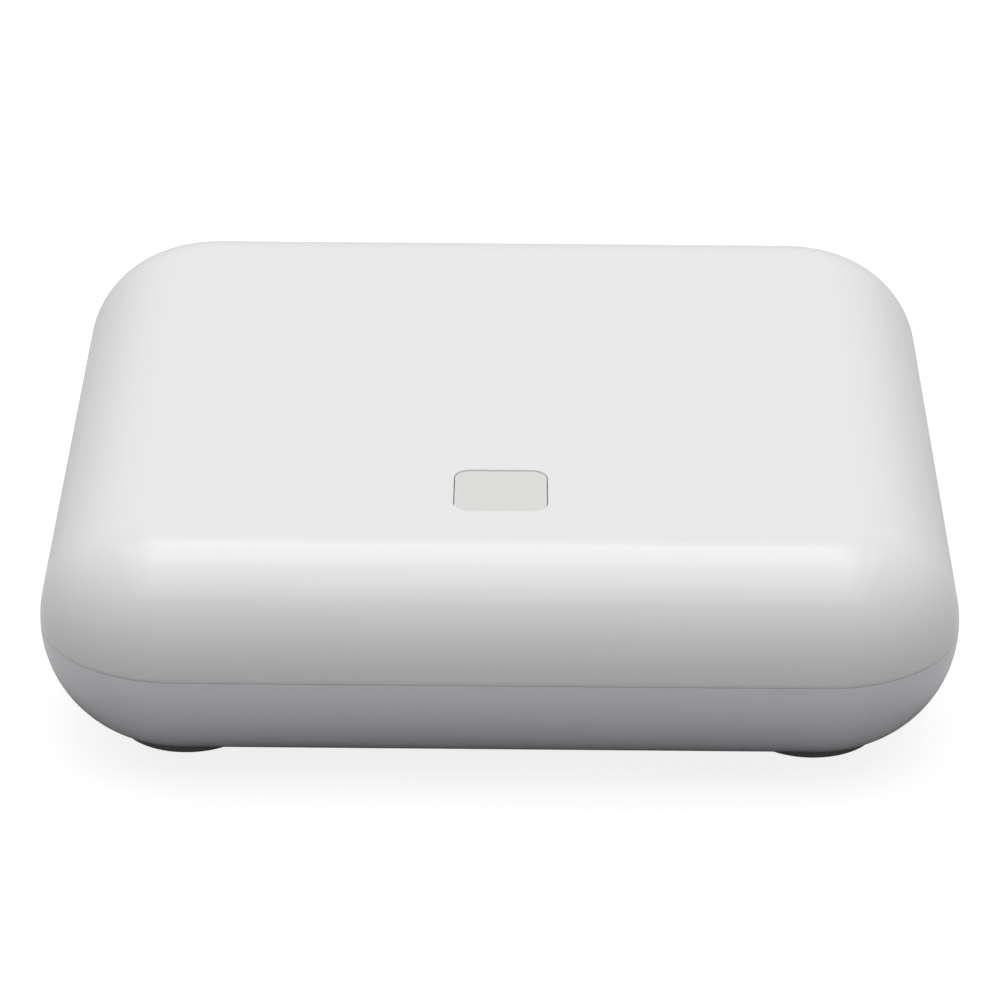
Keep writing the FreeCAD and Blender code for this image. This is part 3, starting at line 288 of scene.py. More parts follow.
def make_skin_group():
    group, given, out = new_group(
        "moulded_skin",
        [
            ("Color", "NodeSocketColor", (0.8, 0.8, 0.8, 1)),
            ("Drift", "NodeSocketFloat", 0.02),
            ("Roughness", "NodeSocketFloat", 0.3),
            ("Patches", "NodeSocketFloat", 0.05),
            ("Grain Scale", "NodeSocketFloat", 2500.0),
            ("Grain Depth", "NodeSocketFloat", 10 * MICRON),
            ("Specks", "NodeSocketFloat", 0.0),
        ],
        [("Color", "NodeSocketColor"), ("Roughness", "NodeSocketFloat"), ("Normal", "NodeSocketVector")],
    )
    place = group.nodes.new("ShaderNodeTexCoord").outputs["Object"]
    drift = centred(group, noise(group, place, DRIFT_SCALE, 3.0), given["Drift"])
    dots = add_node(group, "ShaderNodeTexVoronoi", feature="F1", Vector=place, Scale=SPECK_CELLS)
    near = math_node(group, "LESS_THAN", dots.outputs["Distance"], SPECK_RADIUS)
    rare = math_node(group, "GREATER_THAN", noise(group, place, SPECK_REGIONS, 1.0), SPECK_RARITY)
    speck = math_node(group, "MULTIPLY", math_node(group, "MULTIPLY", near, rare), given["Specks"])
    shade = math_node(group, "SUBTRACT", math_node(group, "ADD", drift, 1.0), speck)
    patches = centred(group, noise(group, place, PATCH_SCALE, 4.0), given["Patches"])
    grain = noise(group, place, given["Grain Scale"], 3.0)
    fill_in(
        group, out, Color=shaded(group, given["Color"], shade),
        Roughness=math_node(group, "ADD", given["Roughness"], patches),
        Normal=relief(group, grain, 1.0, given["Grain Depth"]),
    )
    return group


SKIN = make_skin_group()
print("group", SKIN.name, "with", len(SKIN.nodes), "nodes")


# %% [markdown]
# Metals need another effect. Sheet steel keeps the fine lines of the rolls that made it, so this
# group stretches a noise along one direction and uses it for the gloss and a slight relief. A second
# noise, cloudy and even in all directions, is the tarnish in its tone.


# %% A node group for rolled and turned metal
ROLL_LINES = (60.0, 2500.0, 2500.0)
ROLL_DEPTH = 20 * MICRON
TARNISH_SCALE = 180.0


def make_rolled_group():
    group, given, out = new_group(
        "rolled_metal",
        [
            ("Color", "NodeSocketColor", (0.7, 0.7, 0.7, 1)),
            ("Roughness", "NodeSocketFloat", 0.3),
            ("Lines", "NodeSocketFloat", 0.15),
            ("Tarnish", "NodeSocketFloat", 0.1),
        ],
        [("Color", "NodeSocketColor"), ("Roughness", "NodeSocketFloat"), ("Normal", "NodeSocketVector")],
    )
    place = group.nodes.new("ShaderNodeTexCoord").outputs["Object"]
    stretch = add_node(group, "ShaderNodeMapping", vector_type="POINT", Vector=place, Scale=ROLL_LINES)
    lines = noise(group, stretch.outputs[0], 1.0, 3.0)
    tarnish = centred(group, noise(group, place, TARNISH_SCALE, 4.0), given["Tarnish"])
    scratched = centred(group, lines, given["Lines"])
    fill_in(
        group, out, Color=shaded(group, given["Color"], math_node(group, "ADD", tarnish, 1.0)),
        Roughness=math_node(group, "ADD", given["Roughness"], scratched),
        Normal=relief(group, lines, 0.3, ROLL_DEPTH),
    )
    return group


ROLLED = make_rolled_group()
print("group", ROLLED.name, "with", len(ROLLED.nodes), "nodes")


# %% [markdown]
# A circuit board shows its copper tracks as raised lines under the coloured resist, and bare tinned
# pads and holes between them. Tracks run square to each other, so two brick patterns, one turned a
# quarter, give them: the joints between the bricks are the tracks. The same group with other numbers
# draws the copper loops of an aerial on its film.


# %% Colours mixed, and the joints of a brick pattern
def mix_colours(tree, factor, first, second):
    """The first colour where the factor is 0, the second where it is 1."""
    mix = add_node(tree, "ShaderNodeMix", data_type="RGBA")
    for index, item in ((0, factor), (6, first), (7, second)):
        feed(tree, mix.inputs[index], item)
    return mix.outputs[2]


def brick_joints(tree, place, given, brick_width):
    """1 on the joints of a brick pattern, 0 on the bricks."""
    bricks = add_node(
        tree, "ShaderNodeTexBrick", offset=0.37, Mortar_Smooth=0.1, Row_Height=0.5, Vector=place,
        Brick_Width=brick_width, Scale=given["Scale"], Mortar_Size=given["Track Width"],
    )
    return bricks.outputs["Fac"]


# %% [markdown]
# The tracks of the turned pattern are kept only in some regions, and so are the pads, which are the
# middles of the cells of a Voronoi pattern. Bare metal is smoother than the resist.


# %% A node group for tracks and pads
BRICK_ALONG = 3.1
BRICK_ACROSS = 4.3
CROSSED_REGIONS = 90.0
PAD_REGIONS = 140.0
PAD_RARITY = 0.52
PAD_RADIUS = 0.13
RESIST_ROUGHNESS = 0.4
BARE_SMOOTHER = 0.12
TRACK_HEIGHT = 40 * MICRON


def make_tracks_group():
    group, given, out = new_group(
        "board_tracks",
        [
            ("Board", "NodeSocketColor", (0.02, 0.2, 0.08, 1)),
            ("Track", "NodeSocketColor", (0.05, 0.3, 0.12, 1)),
            ("Pad", "NodeSocketColor", (0.8, 0.76, 0.62, 1)),
            ("Scale", "NodeSocketFloat", 260.0),
            ("Track Width", "NodeSocketFloat", 0.03),
            ("Pads", "NodeSocketFloat", 1.0),
            ("Bare Tracks", "NodeSocketFloat", 0.0),
        ],
        [
            ("Color", "NodeSocketColor"), ("Roughness", "NodeSocketFloat"),
            ("Metallic", "NodeSocketFloat"), ("Normal", "NodeSocketVector"),
        ],
    )
    place = group.nodes.new("ShaderNodeTexCoord").outputs["Object"]
    quarter = (0, 0, math.pi / 2)
    turned = add_node(group, "ShaderNodeMapping", vector_type="POINT", Vector=place, Rotation=quarter)
    along = brick_joints(group, place, given, BRICK_ALONG)
    across = brick_joints(group, turned.outputs[0], given, BRICK_ACROSS)
    region = math_node(group, "GREATER_THAN", noise(group, place, CROSSED_REGIONS, 1.0), 0.5)
    tracks = math_node(group, "MAXIMUM", along, math_node(group, "MULTIPLY", across, region))
    holes = add_node(
        group, "ShaderNodeTexVoronoi", feature="F1", Vector=place, Scale=given["Scale"], Randomness=0.8,
    )
    near = math_node(group, "LESS_THAN", holes.outputs["Distance"], PAD_RADIUS)
    spread = math_node(group, "GREATER_THAN", noise(group, place, PAD_REGIONS, 1.0), PAD_RARITY)
    pads = math_node(group, "MULTIPLY", math_node(group, "MULTIPLY", near, spread), given["Pads"])
    covered = mix_colours(group, tracks, given["Board"], given["Track"])
    bare_tracks = math_node(group, "MULTIPLY", tracks, given["Bare Tracks"])
    bare = math_node(group, "MAXIMUM", pads, bare_tracks)
    smoother = math_node(group, "MULTIPLY", bare, BARE_SMOOTHER)
    raised = math_node(group, "MAXIMUM", tracks, pads)
    fill_in(
        group, out, Color=mix_colours(group, pads, covered, given["Pad"]), Metallic=bare,
        Roughness=math_node(group, "SUBTRACT", RESIST_ROUGHNESS, smoother),
        Normal=relief(group, raised, 0.6, TRACK_HEIGHT),
    )
    return group


TRACKS = make_tracks_group()
print("group", TRACKS.name, "with", len(TRACKS.nodes), "nodes")


# %% [markdown]
# The flat cable has its wires side by side under a thin film, so it is ribbed across its width.
# A wave pattern in bands across the cable gives the ribs their height, and a painted shade darkens the
# groove between them.


# %% A node group for the wires of a flat cable
RIB_EACH_MILLIMETRE = 314.0
RIB_HEIGHT = 200 * MICRON
FILM_ROUGHNESS = 0.3
FILM_PATCHES = 0.15


def make_wires_group():
    group, given, out = new_group(
        "side_by_side_wires",
        [("Color", "NodeSocketColor", (0.7, 0.7, 0.7, 1)), ("Painted Groove Shade", "NodeSocketFloat", 0.25)],
        [("Color", "NodeSocketColor"), ("Roughness", "NodeSocketFloat"), ("Normal", "NodeSocketVector")],
    )
    place = group.nodes.new("ShaderNodeTexCoord").outputs["Object"]
    bands = add_node(
        group, "ShaderNodeTexWave", wave_type="BANDS", bands_direction="X", Vector=place,
        Scale=RIB_EACH_MILLIMETRE,
    )
    ribs = bands.outputs["Fac"]
    # painted shade: the film's colour is made darker in the grooves between the ribs
    painted_groove_shade = math_node(group, "MULTIPLY", math_node(group, "SUBTRACT", 1.0, ribs), given["Painted Groove Shade"])
    patches = math_node(group, "MULTIPLY", noise(group, place, 120.0, 3.0), FILM_PATCHES)
    fill_in(
        group, out, Color=shaded(group, given["Color"], math_node(group, "SUBTRACT", 1.0, painted_groove_shade)),
        Roughness=math_node(group, "ADD", FILM_ROUGHNESS, patches),
        Normal=relief(group, ribs, 0.7, RIB_HEIGHT),
    )
    return group


WIRES = make_wires_group()
print("group", WIRES.name, "with", len(WIRES.nodes), "nodes")


# %% [markdown]
# ## Materials
# The lid is glossy white styrene with a slightly warm tone. A Principled shader gives plastic its
# clear reflections over a coloured body, and the group adds what changes over the surface. The
# tray is the same plastic, given a cooler, bluer colour.


# %% Materials from a group
def new_material(name, group, values, **shader):
    """A Principled material fed by a group; the constants sit on the shader itself."""
    material = bpy.data.materials.new(name)
    material.use_nodes = True
    tree = material.node_tree
    tree.nodes.clear()
    principled = add_node(tree, "ShaderNodeBsdfPrincipled", **shader)
    add_node(tree, "ShaderNodeOutputMaterial", Surface=principled.outputs[0])
    effect = tree.nodes.new("ShaderNodeGroup")
    effect.node_tree = group
    for key, value in values.items():
        effect.inputs[key].default_value = value
    tree.links.new(effect.outputs["Color"], principled.inputs["Base Color"])
    for label in ("Roughness", "Metallic", "Normal"):
        if label in effect.outputs:
            tree.links.new(effect.outputs[label], principled.inputs[label])
    return material


def plastic(name, colour, roughness, grain=4 * MICRON, drift=0.02, patches=0.04, specks=0.0):
    """A moulded plastic; the grain is its height in metres."""
    values = {
        "Color": (*colour, 1), "Drift": drift, "Roughness": roughness, "Patches": patches,
        "Grain Depth": grain, "Specks": specks,
    }
    return new_material(name, SKIN, values, IOR=1.5)


def metal(name, colour, roughness, lines, tarnish):
    """A rolled or turned metal; lines and tarnish are how much they change its gloss and its tone."""
    values = {"Color": (*colour, 1), "Roughness": roughness, "Lines": lines, "Tarnish": tarnish}
    return new_material(name, ROLLED, values, Metallic=1.0)


# %% [markdown]
# The moulds of the lid and the tray are polished, so their grain is less than a micrometre high. The
# button is milky, because lamps shine through it in use. Rubber, foam and paper are rough, with a
# deeper grain and a patchy tone.

# %% Plastics and rubber
SMOOTH_MOULD = {"grain": 0.6 * MICRON, "drift": 0.012, "patches": 0.015, "specks": 0.03}
LID = plastic("lid_gloss_white", (0.80, 0.786, 0.792), 0.145, **SMOOTH_MOULD)
TRAY = plastic("tray_gloss_white", (0.78, 0.785, 0.828), 0.18, **SMOOTH_MOULD)
BUTTON = plastic("button_milky_grey", (0.683, 0.687, 0.668), 0.25, grain=1 * MICRON, drift=0.01)
RUBBER = plastic("foot_rubber", (0.2, 0.196, 0.208), 0.62, grain=30 * MICRON, drift=0.2, patches=0.12)
BLACK = plastic("socket_black", (0.018, 0.018, 0.02), 0.42, grain=10 * MICRON, drift=0.1)
DARK = plastic("lever_dark_grey", (0.05, 0.05, 0.055), 0.4, grain=10 * MICRON, drift=0.1)
WHITE = plastic("inner_matt_white", (0.74, 0.74, 0.73), 0.5, grain=10 * MICRON, drift=0.03)
LAMP = plastic("lamp_resin", (0.82, 0.76, 0.5), 0.18, grain=1 * MICRON, drift=0.03)
FOAM = plastic("gasket_foam", (0.035, 0.035, 0.038), 0.9, grain=250 * MICRON, drift=0.5, patches=0.1)
CONE = plastic("cone_paper", (0.03, 0.03, 0.034), 0.7, grain=60 * MICRON, drift=0.4, patches=0.1)
WRAP = plastic("battery_film", (0.015, 0.07, 0.26), 0.24, grain=80 * MICRON, drift=0.12, patches=0.1)

# %% [markdown]
# The shields and the inlet's pin are tinned, the screws zinc plated, the contacts gold plated, and the
# loudspeaker's magnet sits in a nickel plated cup. All four are the rolled metal with other numbers.

# %% Metals
TINNED = metal("tinned_sheet", (0.72, 0.72, 0.70), 0.32, 0.2, 0.12)
ZINC = metal("zinc_screw", (0.62, 0.62, 0.60), 0.36, 0.15, 0.2)
GOLD = metal("gold_contact", (0.86, 0.62, 0.26), 0.2, 0.1, 0.1)
CUP = metal("magnet_cup", (0.46, 0.46, 0.47), 0.28, 0.15, 0.1)

# %% [markdown]
# The main board and the button's board have green resist, the radio modules blue. An aerial is the same
# pattern without pads, its tracks wide and of bare copper.

# %% Boards, aerials and the flat cable
TIN = (0.78, 0.77, 0.72, 1)
COPPER = (0.80, 0.42, 0.22, 1)
BOARD = new_material(
    "board_green", TRACKS,
    {"Board": (0.012, 0.13, 0.05, 1), "Track": (0.03, 0.22, 0.08, 1), "Pad": TIN, "Scale": 260.0},
    IOR=1.5,
)
MODULE = new_material(
    "module_blue", TRACKS,
    {"Board": (0.008, 0.04, 0.12, 1), "Track": (0.02, 0.08, 0.22, 1), "Pad": COPPER, "Scale": 420.0},
    IOR=1.5,
)
AERIAL = new_material(
    "aerial_film", TRACKS,
    {
        "Board": (0.05, 0.03, 0.012, 1), "Track": COPPER, "Pad": COPPER, "Scale": 150.0,
        "Track Width": 0.16, "Pads": 0.0, "Bare Tracks": 1.0,
    },
    IOR=1.5,
)
RIBBON = new_material("flat_cable", WIRES, {"Color": (0.62, 0.62, 0.60, 1), "Painted Groove Shade": 0.3}, IOR=1.5)
print(len(bpy.data.materials), "materials")

# %% [markdown]
# ## The lid
# Its section starts on the flat top, comes down the large round to the seam, steps in over the lip of
# the tray and goes back up inside at an even wall. The window for the button has a section of its
# own with a fine broken edge. Both end in a narrow flat rim, which keeps the shading of the round and
# of the broken edge from spilling over the flat. Two fills then close the top and the ceiling. The
# round inside starts a little above the lip, so its first two degrees are left out.

# %% The section of the lid
ROUND_STEPS = 40
ABOVE_LIP = 2
FLAT_RIM = 0.8 * MM
rim = SEAM + SEAM_GAP
top_centre = (TOP_ROUND, TOP - TOP_ROUND)
outer = arc(top_centre, TOP_ROUND, 90, 0, ROUND_STEPS)
inner = arc(top_centre, TOP_ROUND - WALL, ABOVE_LIP, 90, ROUND_STEPS)
CEILING = TOP - WALL
lid_section = (
    [(TOP_ROUND + FLAT_RIM, TOP)] + outer
    + [(0, rim + EDGE), (EDGE_BEND, rim + EDGE_BEND), (EDGE, rim), (RIM_LAND, rim)]
    + [(RIM_LAND, LIP_TOP), (WALL, LIP_TOP)] + inner
    + [(TOP_ROUND + FLAT_RIM, CEILING)]
)
print("the lid's section has", len(lid_section), "points")

# %% [markdown]
# The window's outline is the button's with an even gap round it, and its section runs the other way:
# the wall of the window faces inwards.

# %% The window and the level faces
cap_low, cap_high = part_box("button_cap")
BUTTON_Y = (cap_low.y + cap_high.y) / 2
BUTTON_HALF = 8.5 * MM
BUTTON_CORNER = 3.0 * MM
BUTTON_GAP = 0.12 * MM
WINDOW_STEPS = 10
window_half = BUTTON_HALF + BUTTON_GAP
window_section = [
    (-FLAT_RIM, TOP), (-EDGE, TOP), (-EDGE_BEND, TOP - EDGE_BEND), (0, TOP - EDGE), (0, CEILING),
    (-FLAT_RIM, CEILING),
]


def model_lid():
    bm = bmesh.new()
    carry_round(bm, lid_section, HALF, HALF, PLAN_RADIUS)
    corner = BUTTON_CORNER + BUTTON_GAP
    carry_round(bm, window_section, window_half, window_half, corner, (0, BUTTON_Y), WINDOW_STEPS)
    fill_level(bm, TOP, 1)
    fill_level(bm, CEILING, -1)
    return bm


lid_mesh = model_lid()
print("lid", len(lid_mesh.faces), "faces so far")

# %% [markdown]
# Under the lid stand four pillars for the case screws and two bosses for the button's board. They
# are turned shapes with a pilot hole. Moulded bosses grow out of the ceiling, so each one reaches
# a little way into it, and the joint never shows a gap.


# %% Turn a profile about an upright axis
def turn(bm, profile, x, y, steps):
    """Spin a profile of (radius, height) points through a full turn."""
    verts, edges = chain(bm, [(x + radius, y, z) for radius, z in profile])
    bmesh.ops.spin(
        bm, geom=verts + edges, cent=(x, y, 0), axis=(0, 0, 1), angle=2 * math.pi, steps=steps,
        use_merge=True, use_duplicate=False,
    )


def node_middle(node):
    """The middle of a node's box, seen from above."""
    low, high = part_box(node)
    return (low.x + high.x) / 2, (low.y + high.y) / 2


# %% [markdown]
# A pillar stands over each foot, because the case screws come up through the recesses of the feet. The
# pilot holes end a little above the tips of the screws.

# %% Add the pillars and the bosses to the lid
ROOT = 0.4 * MM
BOSS_STEPS = 40
PILLAR_RADIUS = 4.0 * MM
PILLAR_FOOT = 12.0 * MM
PILLAR_PILOT = 1.55 * MM
PILLAR_SPARE = 0.5 * MM
BOSS_RADIUS = 2.5 * MM
BOSS_REACH = 16.5 * MM
BOSS_PILOT = 1.3 * MM
BOSS_SPARE = 0.2 * MM
CORNERS = ("front_left", "front_right", "rear_left", "rear_right")


def turned_boss(bm, x, y, radius, foot, pilot, pilot_end):
    """An upright boss, open below for its screw, rooted in the ceiling."""
    head = CEILING + ROOT
    profile = [(0, pilot_end), (pilot, pilot_end), (pilot, foot), (radius, foot), (radius, head), (0, head)]
    turn(bm, profile, x, y, BOSS_STEPS)


pilot_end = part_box("case_screws")[1].z + PILLAR_SPARE
for corner in CORNERS:
    x, y = node_middle("foot_" + corner)
    turned_boss(lid_mesh, x, y, PILLAR_RADIUS, PILLAR_FOOT, PILLAR_PILOT, pilot_end)
board_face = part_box("button_board")[1].z
pilot_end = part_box("button_board_screws")[1].z + BOSS_SPARE
for x in (-BOSS_REACH, BOSS_REACH):
    turned_boss(lid_mesh, x, BUTTON_Y, BOSS_RADIUS, board_face, BOSS_PILOT, pilot_end)
finish_piece(lid_mesh, "lid", "case", LID, ["top_shell"])

# %% [markdown]
# ## The button
# The cap is a square plate with soft corners and a flange that hooks under the lid. The same
# carried section makes its broken top edge, the flange and the hollow below, and a turned stem in
# the middle reaches down to the switch.

# %% Model the button cap
BUTTON_TOP = cap_high.z
FLANGE = 1.8 * MM
FLANGE_THICKNESS = 1.0 * MM
CAP_WALL = 1.5 * MM
CAP_SKIN = 1.4 * MM
CAP_EDGE = 0.2 * MM
CAP_EDGE_STEPS = 5
CAP_STEPS = 12
STEM_RADIUS = 1.5 * MM
STEM_STEPS = 32
cap_section = (
    [(FLAT_RIM, BUTTON_TOP)] + arc((CAP_EDGE, BUTTON_TOP - CAP_EDGE), CAP_EDGE, 90, 0, CAP_EDGE_STEPS)
    + [(0, CEILING), (-FLANGE, CEILING), (-FLANGE, CEILING - FLANGE_THICKNESS)]
    + [(CAP_WALL, CEILING - FLANGE_THICKNESS), (CAP_WALL, BUTTON_TOP - CAP_SKIN)]
)


def model_cap():
    bm = bmesh.new()
    carry_round(bm, cap_section, BUTTON_HALF, BUTTON_HALF, BUTTON_CORNER, (0, BUTTON_Y), CAP_STEPS)
    fill_level(bm, BUTTON_TOP, 1)
    fill_level(bm, BUTTON_TOP - CAP_SKIN, -1)
    head = BUTTON_TOP - CAP_SKIN + ROOT
    stem = [(0, cap_low.z), (STEM_RADIUS, cap_low.z), (STEM_RADIUS, head), (0, head)]
    turn(bm, stem, 0, BUTTON_Y, STEM_STEPS)
    return bm


finish_piece(model_cap(), "button_face", "button", BUTTON, ["button_cap"])

# %% [markdown]
# ## The feet
# Each foot is a turned rubber pad, so one profile spun through a full turn makes it. It is rounded
# below, where a moulded pad would otherwise curl and catch. The spin is told to merge its last row
# with its first, and the rings of points on the axis are welded afterwards.


# %% Model the feet
FOOT_EDGE = 0.6 * MM
FOOT_EDGE_STEPS = 6
FOOT_STEPS = 72
INNER_RING = 0.8


def model_foot(node):
    low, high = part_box(node)
    radius = (high.x - low.x) / 2
    x, y = node_middle(node)
    bend = arc((radius - FOOT_EDGE, FOOT_EDGE), FOOT_EDGE, -90, -180, FOOT_EDGE_STEPS)
    profile = [(0, 0), (radius * INNER_RING, 0)] + bend + [(radius, high.z), (0, high.z)]
    bm = bmesh.new()
    turn(bm, profile, x, y, FOOT_STEPS)
    return bm


for corner in CORNERS:
    node = "foot_" + corner
    finish_piece(model_foot(node), "pad_" + corner, "case", RUBBER, [node])

# %% [markdown]
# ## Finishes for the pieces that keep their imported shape
# The tray, the boards, the sockets, the loudspeaker, the battery and the small pieces already have the
# right form, so each one only gets the material of its slot.

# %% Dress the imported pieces
FINISH = {
    "base_plastic": TRAY, "button_plastic": BUTTON, "lid_plastic": LID, "foot_rubber": RUBBER,
    "circuit_board": BOARD, "module_board": MODULE, "tinned_steel": TINNED, "screw_steel": ZINC,
    "gold_contact": GOLD, "black_plastic": BLACK, "dark_plastic": DARK, "white_plastic": WHITE,
    "lamp_resin": LAMP, "antenna_film": AERIAL, "foam": FOAM, "paper_cone": CONE, "magnet_steel": CUP,
    "battery_wrap": WRAP, "ribbon_film": RIBBON,
}
slot_of = {part["node"]: part["material_slot"] for part in frame["record"]["subparts"]}
for name, node in nodes.items():
    node.data.materials.clear()
    node.data.materials.append(FINISH[slot_of[name]])
print("dressed", len(nodes), "nodes")

# %% [markdown]
# ## Floor and surroundings
# The hub is shown on a white ground, in a pale studio. Floor and dome both answer in one way to rays
# that show them, from the camera or mirrored in the gloss, and in another to rays that gather light.
# Light Path tells the two apart. Two more helpers make soft changes over the floor.


# %% Helpers for the surroundings
def seen_directly(tree):
    """1 for a ray from the camera, from a reflection or through a clear surface."""
    path = tree.nodes.new("ShaderNodeLightPath")
    first = math_node(tree, "MAXIMUM", path.outputs["Is Camera Ray"], path.outputs["Is Glossy Ray"])
    return math_node(tree, "MAXIMUM", first, path.outputs["Is Transmission Ray"])


def rise(tree, value, span, low, high):
    """A smooth change from low to high while the value crosses a span."""
    ramp = add_node(
        tree, "ShaderNodeMapRange", interpolation_type="SMOOTHSTEP", Value=value,
        From_Min=span[0], From_Max=span[1], To_Min=low, To_Max=high,
    )
    return ramp.outputs["Result"]


def square_distance(tree):
    """How far a point of the floor is from the middle, measured as the hub's square outline grows."""
    place = tree.nodes.new("ShaderNodeTexCoord").outputs["Object"]
    split = add_node(tree, "ShaderNodeSeparateXYZ", Vector=place)
    across = math_node(tree, "ABSOLUTE", split.outputs["X"], 0.0)
    along = math_node(tree, "ABSOLUTE", split.outputs["Y"], 0.0)
    return math_node(tree, "MAXIMUM", across, along)


# %% [markdown]
# The floor is a pale plane. It keeps a soft shadow, and glows a little so that the camera sees it
# white, which hides its far edge too. The mirrored floor is dimmer. Below the hub a painted shadow is
# laid on the floor: there it mirrors no glow, and its grey for the rays that gather light is much darker,
# so the round of the tray gets darker towards its underside. These changes follow the hub's square
# outline, because a round one would show in the mirrored image.


# %% The floor's material
FLOOR_SHADE = (0.25, 0.25, 0.25, 1)
FLOOR_GLOW = 0.84
FLOOR_FADES = (0.2, 0.9)
FLOOR_MIRRORED = 0.36
FLOOR_BOUNCE = 0.27
# painted shadow under the hub: the floor's grey for gathered light and its mirrored glow are turned down
# inside these spans
PAINTED_SHADOW_GREY = 0.05
PAINTED_SHADOW_SPAN = (0.057, 0.087)
MIRRORED_SHADOW_SPAN = (0.078, 0.10)


def make_floor_material():
    """White to the camera, with the hub's shadow, and grey to the rays that gather light, darker under the
    hub as a painted shadow.
    """
    material = bpy.data.materials.new("floor_white")
    material.use_nodes = True
    tree = material.node_tree
    tree.nodes.clear()
    away = square_distance(tree)
    camera_ray = tree.nodes.new("ShaderNodeLightPath").outputs["Is Camera Ray"]
    # painted shadow: the mirrored glow is zero under the hub and rises beside it
    mirrored = rise(tree, away, MIRRORED_SHADOW_SPAN, 0.0, FLOOR_MIRRORED)
    glowing = rise(tree, away, FLOOR_FADES, FLOOR_GLOW, 1.0)
    strength = math_node(tree, "MAXIMUM", math_node(tree, "MULTIPLY", camera_ray, glowing), mirrored)
    pale = add_node(tree, "ShaderNodeBsdfDiffuse", Color=FLOOR_SHADE)
    glow = add_node(tree, "ShaderNodeEmission", Strength=strength)
    shown = add_node(tree, "ShaderNodeAddShader")
    feed(tree, shown.inputs[0], pale.outputs[0])
    feed(tree, shown.inputs[1], glow.outputs[0])
    # painted shadow: the floor's grey for gathered light is much darker under the hub
    grey = rise(tree, away, PAINTED_SHADOW_SPAN, PAINTED_SHADOW_GREY, FLOOR_BOUNCE)
    bounce = add_node(tree, "ShaderNodeBsdfDiffuse", Color=grey)
    choice = add_node(tree, "ShaderNodeMixShader", Fac=seen_directly(tree))
    feed(tree, choice.inputs[1], bounce.outputs[0])
    feed(tree, choice.inputs[2], shown.outputs[0])
    add_node(tree, "ShaderNodeOutputMaterial", Surface=choice.outputs[0])
    return material


FLOOR = make_floor_material()
print("material", FLOOR.name, "with", len(FLOOR.node_tree.nodes), "nodes")

# %% [markdown]
# The plane itself reaches four metres to each side of the hub. It is part of the stage, not of the hub.


# %% The floor
FLOOR_REACH = 4.0


def make_floor():
    bm = bmesh.new()
    bmesh.ops.create_grid(bm, x_segments=1, y_segments=1, size=FLOOR_REACH)
    mesh = bpy.data.meshes.new("floor")
    bm.to_mesh(mesh)
    bm.free()
    mesh.materials.append(FLOOR)
    floor = bpy.data.objects.new("floor", mesh)
    bpy.context.scene.collection.objects.link(floor)
    print("floor corners", [tuple(vert.co) for vert in mesh.vertices])


make_floor()

# %% [markdown]
# The world is a plain dome. The camera sees it white, the gloss mirrors it at a little over half of
# that, as it would a pale room, and it lights the hub evenly from all sides.

# %% The dome
DOME = 0.44
DOME_MIRRORED = 0.61


def make_world():
    world = bpy.data.worlds.new("studio")
    bpy.context.scene.world = world
    world.use_nodes = True
    tree = world.node_tree
    tree.nodes.clear()
    seen = seen_directly(tree)
    lit = math_node(tree, "MULTIPLY", math_node(tree, "SUBTRACT", 1.0, seen), DOME)
    glossy = tree.nodes.new("ShaderNodeLightPath").outputs["Is Glossy Ray"]
    dimmer = math_node(tree, "MULTIPLY", glossy, 1.0 - DOME_MIRRORED)
    shown = math_node(tree, "SUBTRACT", seen, dimmer)
    strength = math_node(tree, "ADD", shown, lit)
    background = add_node(tree, "ShaderNodeBackground", Color=(1, 1, 1, 1), Strength=strength)
    add_node(tree, "ShaderNodeOutputWorld", Surface=background.outputs[0])
    print("world", world.name, "with", len(tree.nodes), "nodes")


make_world()

# %% [markdown]
# ## Lamps
# A large ceiling light and a lamp at each side give the soft shading. A row of six softboxes over the
# hub and behind it is what the front round mirrors: together they are the bright band with its rounded
# ends, brightest in the middle, and the faint glow above it. Three of them are a little warm. The
# lamps at the sides aren't mirrored, because they would show as streaks on the corners. Each call gives
# a lamp's place, its width and depth in metres, and its power in watts.


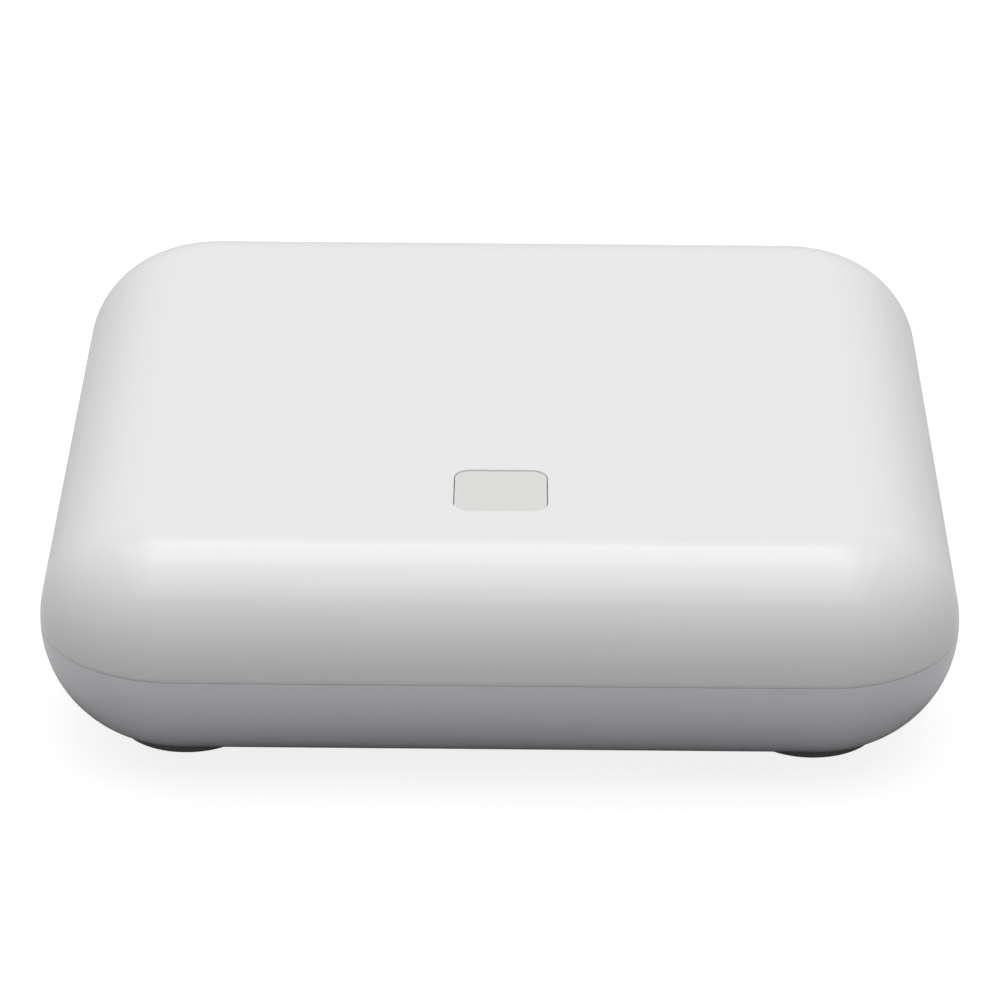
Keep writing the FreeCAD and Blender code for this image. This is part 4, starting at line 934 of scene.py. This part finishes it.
# %% Softboxes
def softbox(name, x, y, z, width, depth, power, colour=(1, 1, 1), mirrored=True):
    """A rectangular softbox that faces straight down."""
    lamp = bpy.data.lights.new(name, "AREA")
    lamp.shape = "RECTANGLE"
    lamp.size = width
    lamp.size_y = depth
    lamp.energy = power
    lamp.color = colour
    holder = bpy.data.objects.new(name, lamp)
    holder.location = (x, y, z)
    holder.visible_glossy = mirrored
    bpy.context.scene.collection.objects.link(holder)


WARM = (1, 0.995, 0.95)
softbox("ceiling", 0, 0, 1.9, 2.6, 2.6, 16.4)
softbox("left_wall", -1.6, 0, 1.5, 0.8, 2.4, 5.2, mirrored=False)
softbox("right_wall", 1.6, 0, 1.5, 0.8, 2.4, 5.2, mirrored=False)
softbox("softbox_near", 0, -0.2, 1.3, 1.12, 0.6, 1.4)
softbox("softbox_middle", 0, 0.275, 1.3, 1.04, 0.35, 1.75)
softbox("softbox_far", -0.01, 0.625, 1.3, 0.88, 0.35, 1.2, WARM)
softbox("softbox_edge", -0.03, 0.845, 1.3, 0.68, 0.09, 0.25, WARM)
softbox("softbox_core", -0.04, 0.69, 1.3, 0.48, 0.38, 0.66, WARM)
softbox("softbox_glow", 0, 1.02, 1.3, 1.0, 0.24, 0.45)
print("lamps", [item.name for item in bpy.data.lights])

# %% [markdown]
# ## Camera
# The camera looks down a little more than 25 degrees from the front, through a long lens, at a point
# about halfway up the hub. The small turn, roll and shift put it in the frame as it is in the photo.
# The plain view transform keeps the shades as the lamps give them.

# %% Camera
PITCH = math.radians(25.816)
YAW = math.radians(0.102)
ROLL = math.radians(0.446)
DISTANCE = 0.9606
AIM_HEIGHT = 0.02335
lens = bpy.data.cameras.new("camera")
lens.sensor_width = 36
lens.lens = 178.583
lens.shift_x = -0.00126
lens.shift_y = -0.01625
lens.clip_start = 0.01
camera = bpy.data.objects.new("camera", lens)
bpy.context.scene.collection.objects.link(camera)
reach = DISTANCE * math.cos(PITCH)
camera.location = (reach * math.sin(YAW), -reach * math.cos(YAW), AIM_HEIGHT + DISTANCE * math.sin(PITCH))
toward = Vector((0, 0, AIM_HEIGHT)) - camera.location
camera.rotation_euler = toward.to_track_quat("-Z", "Y").to_euler()
camera.rotation_euler.rotate_axis("Z", ROLL)
bpy.context.scene.camera = camera
bpy.context.scene.view_settings.view_transform = "Standard"
print("camera at", tuple(round(value, 3) for value in camera.location))
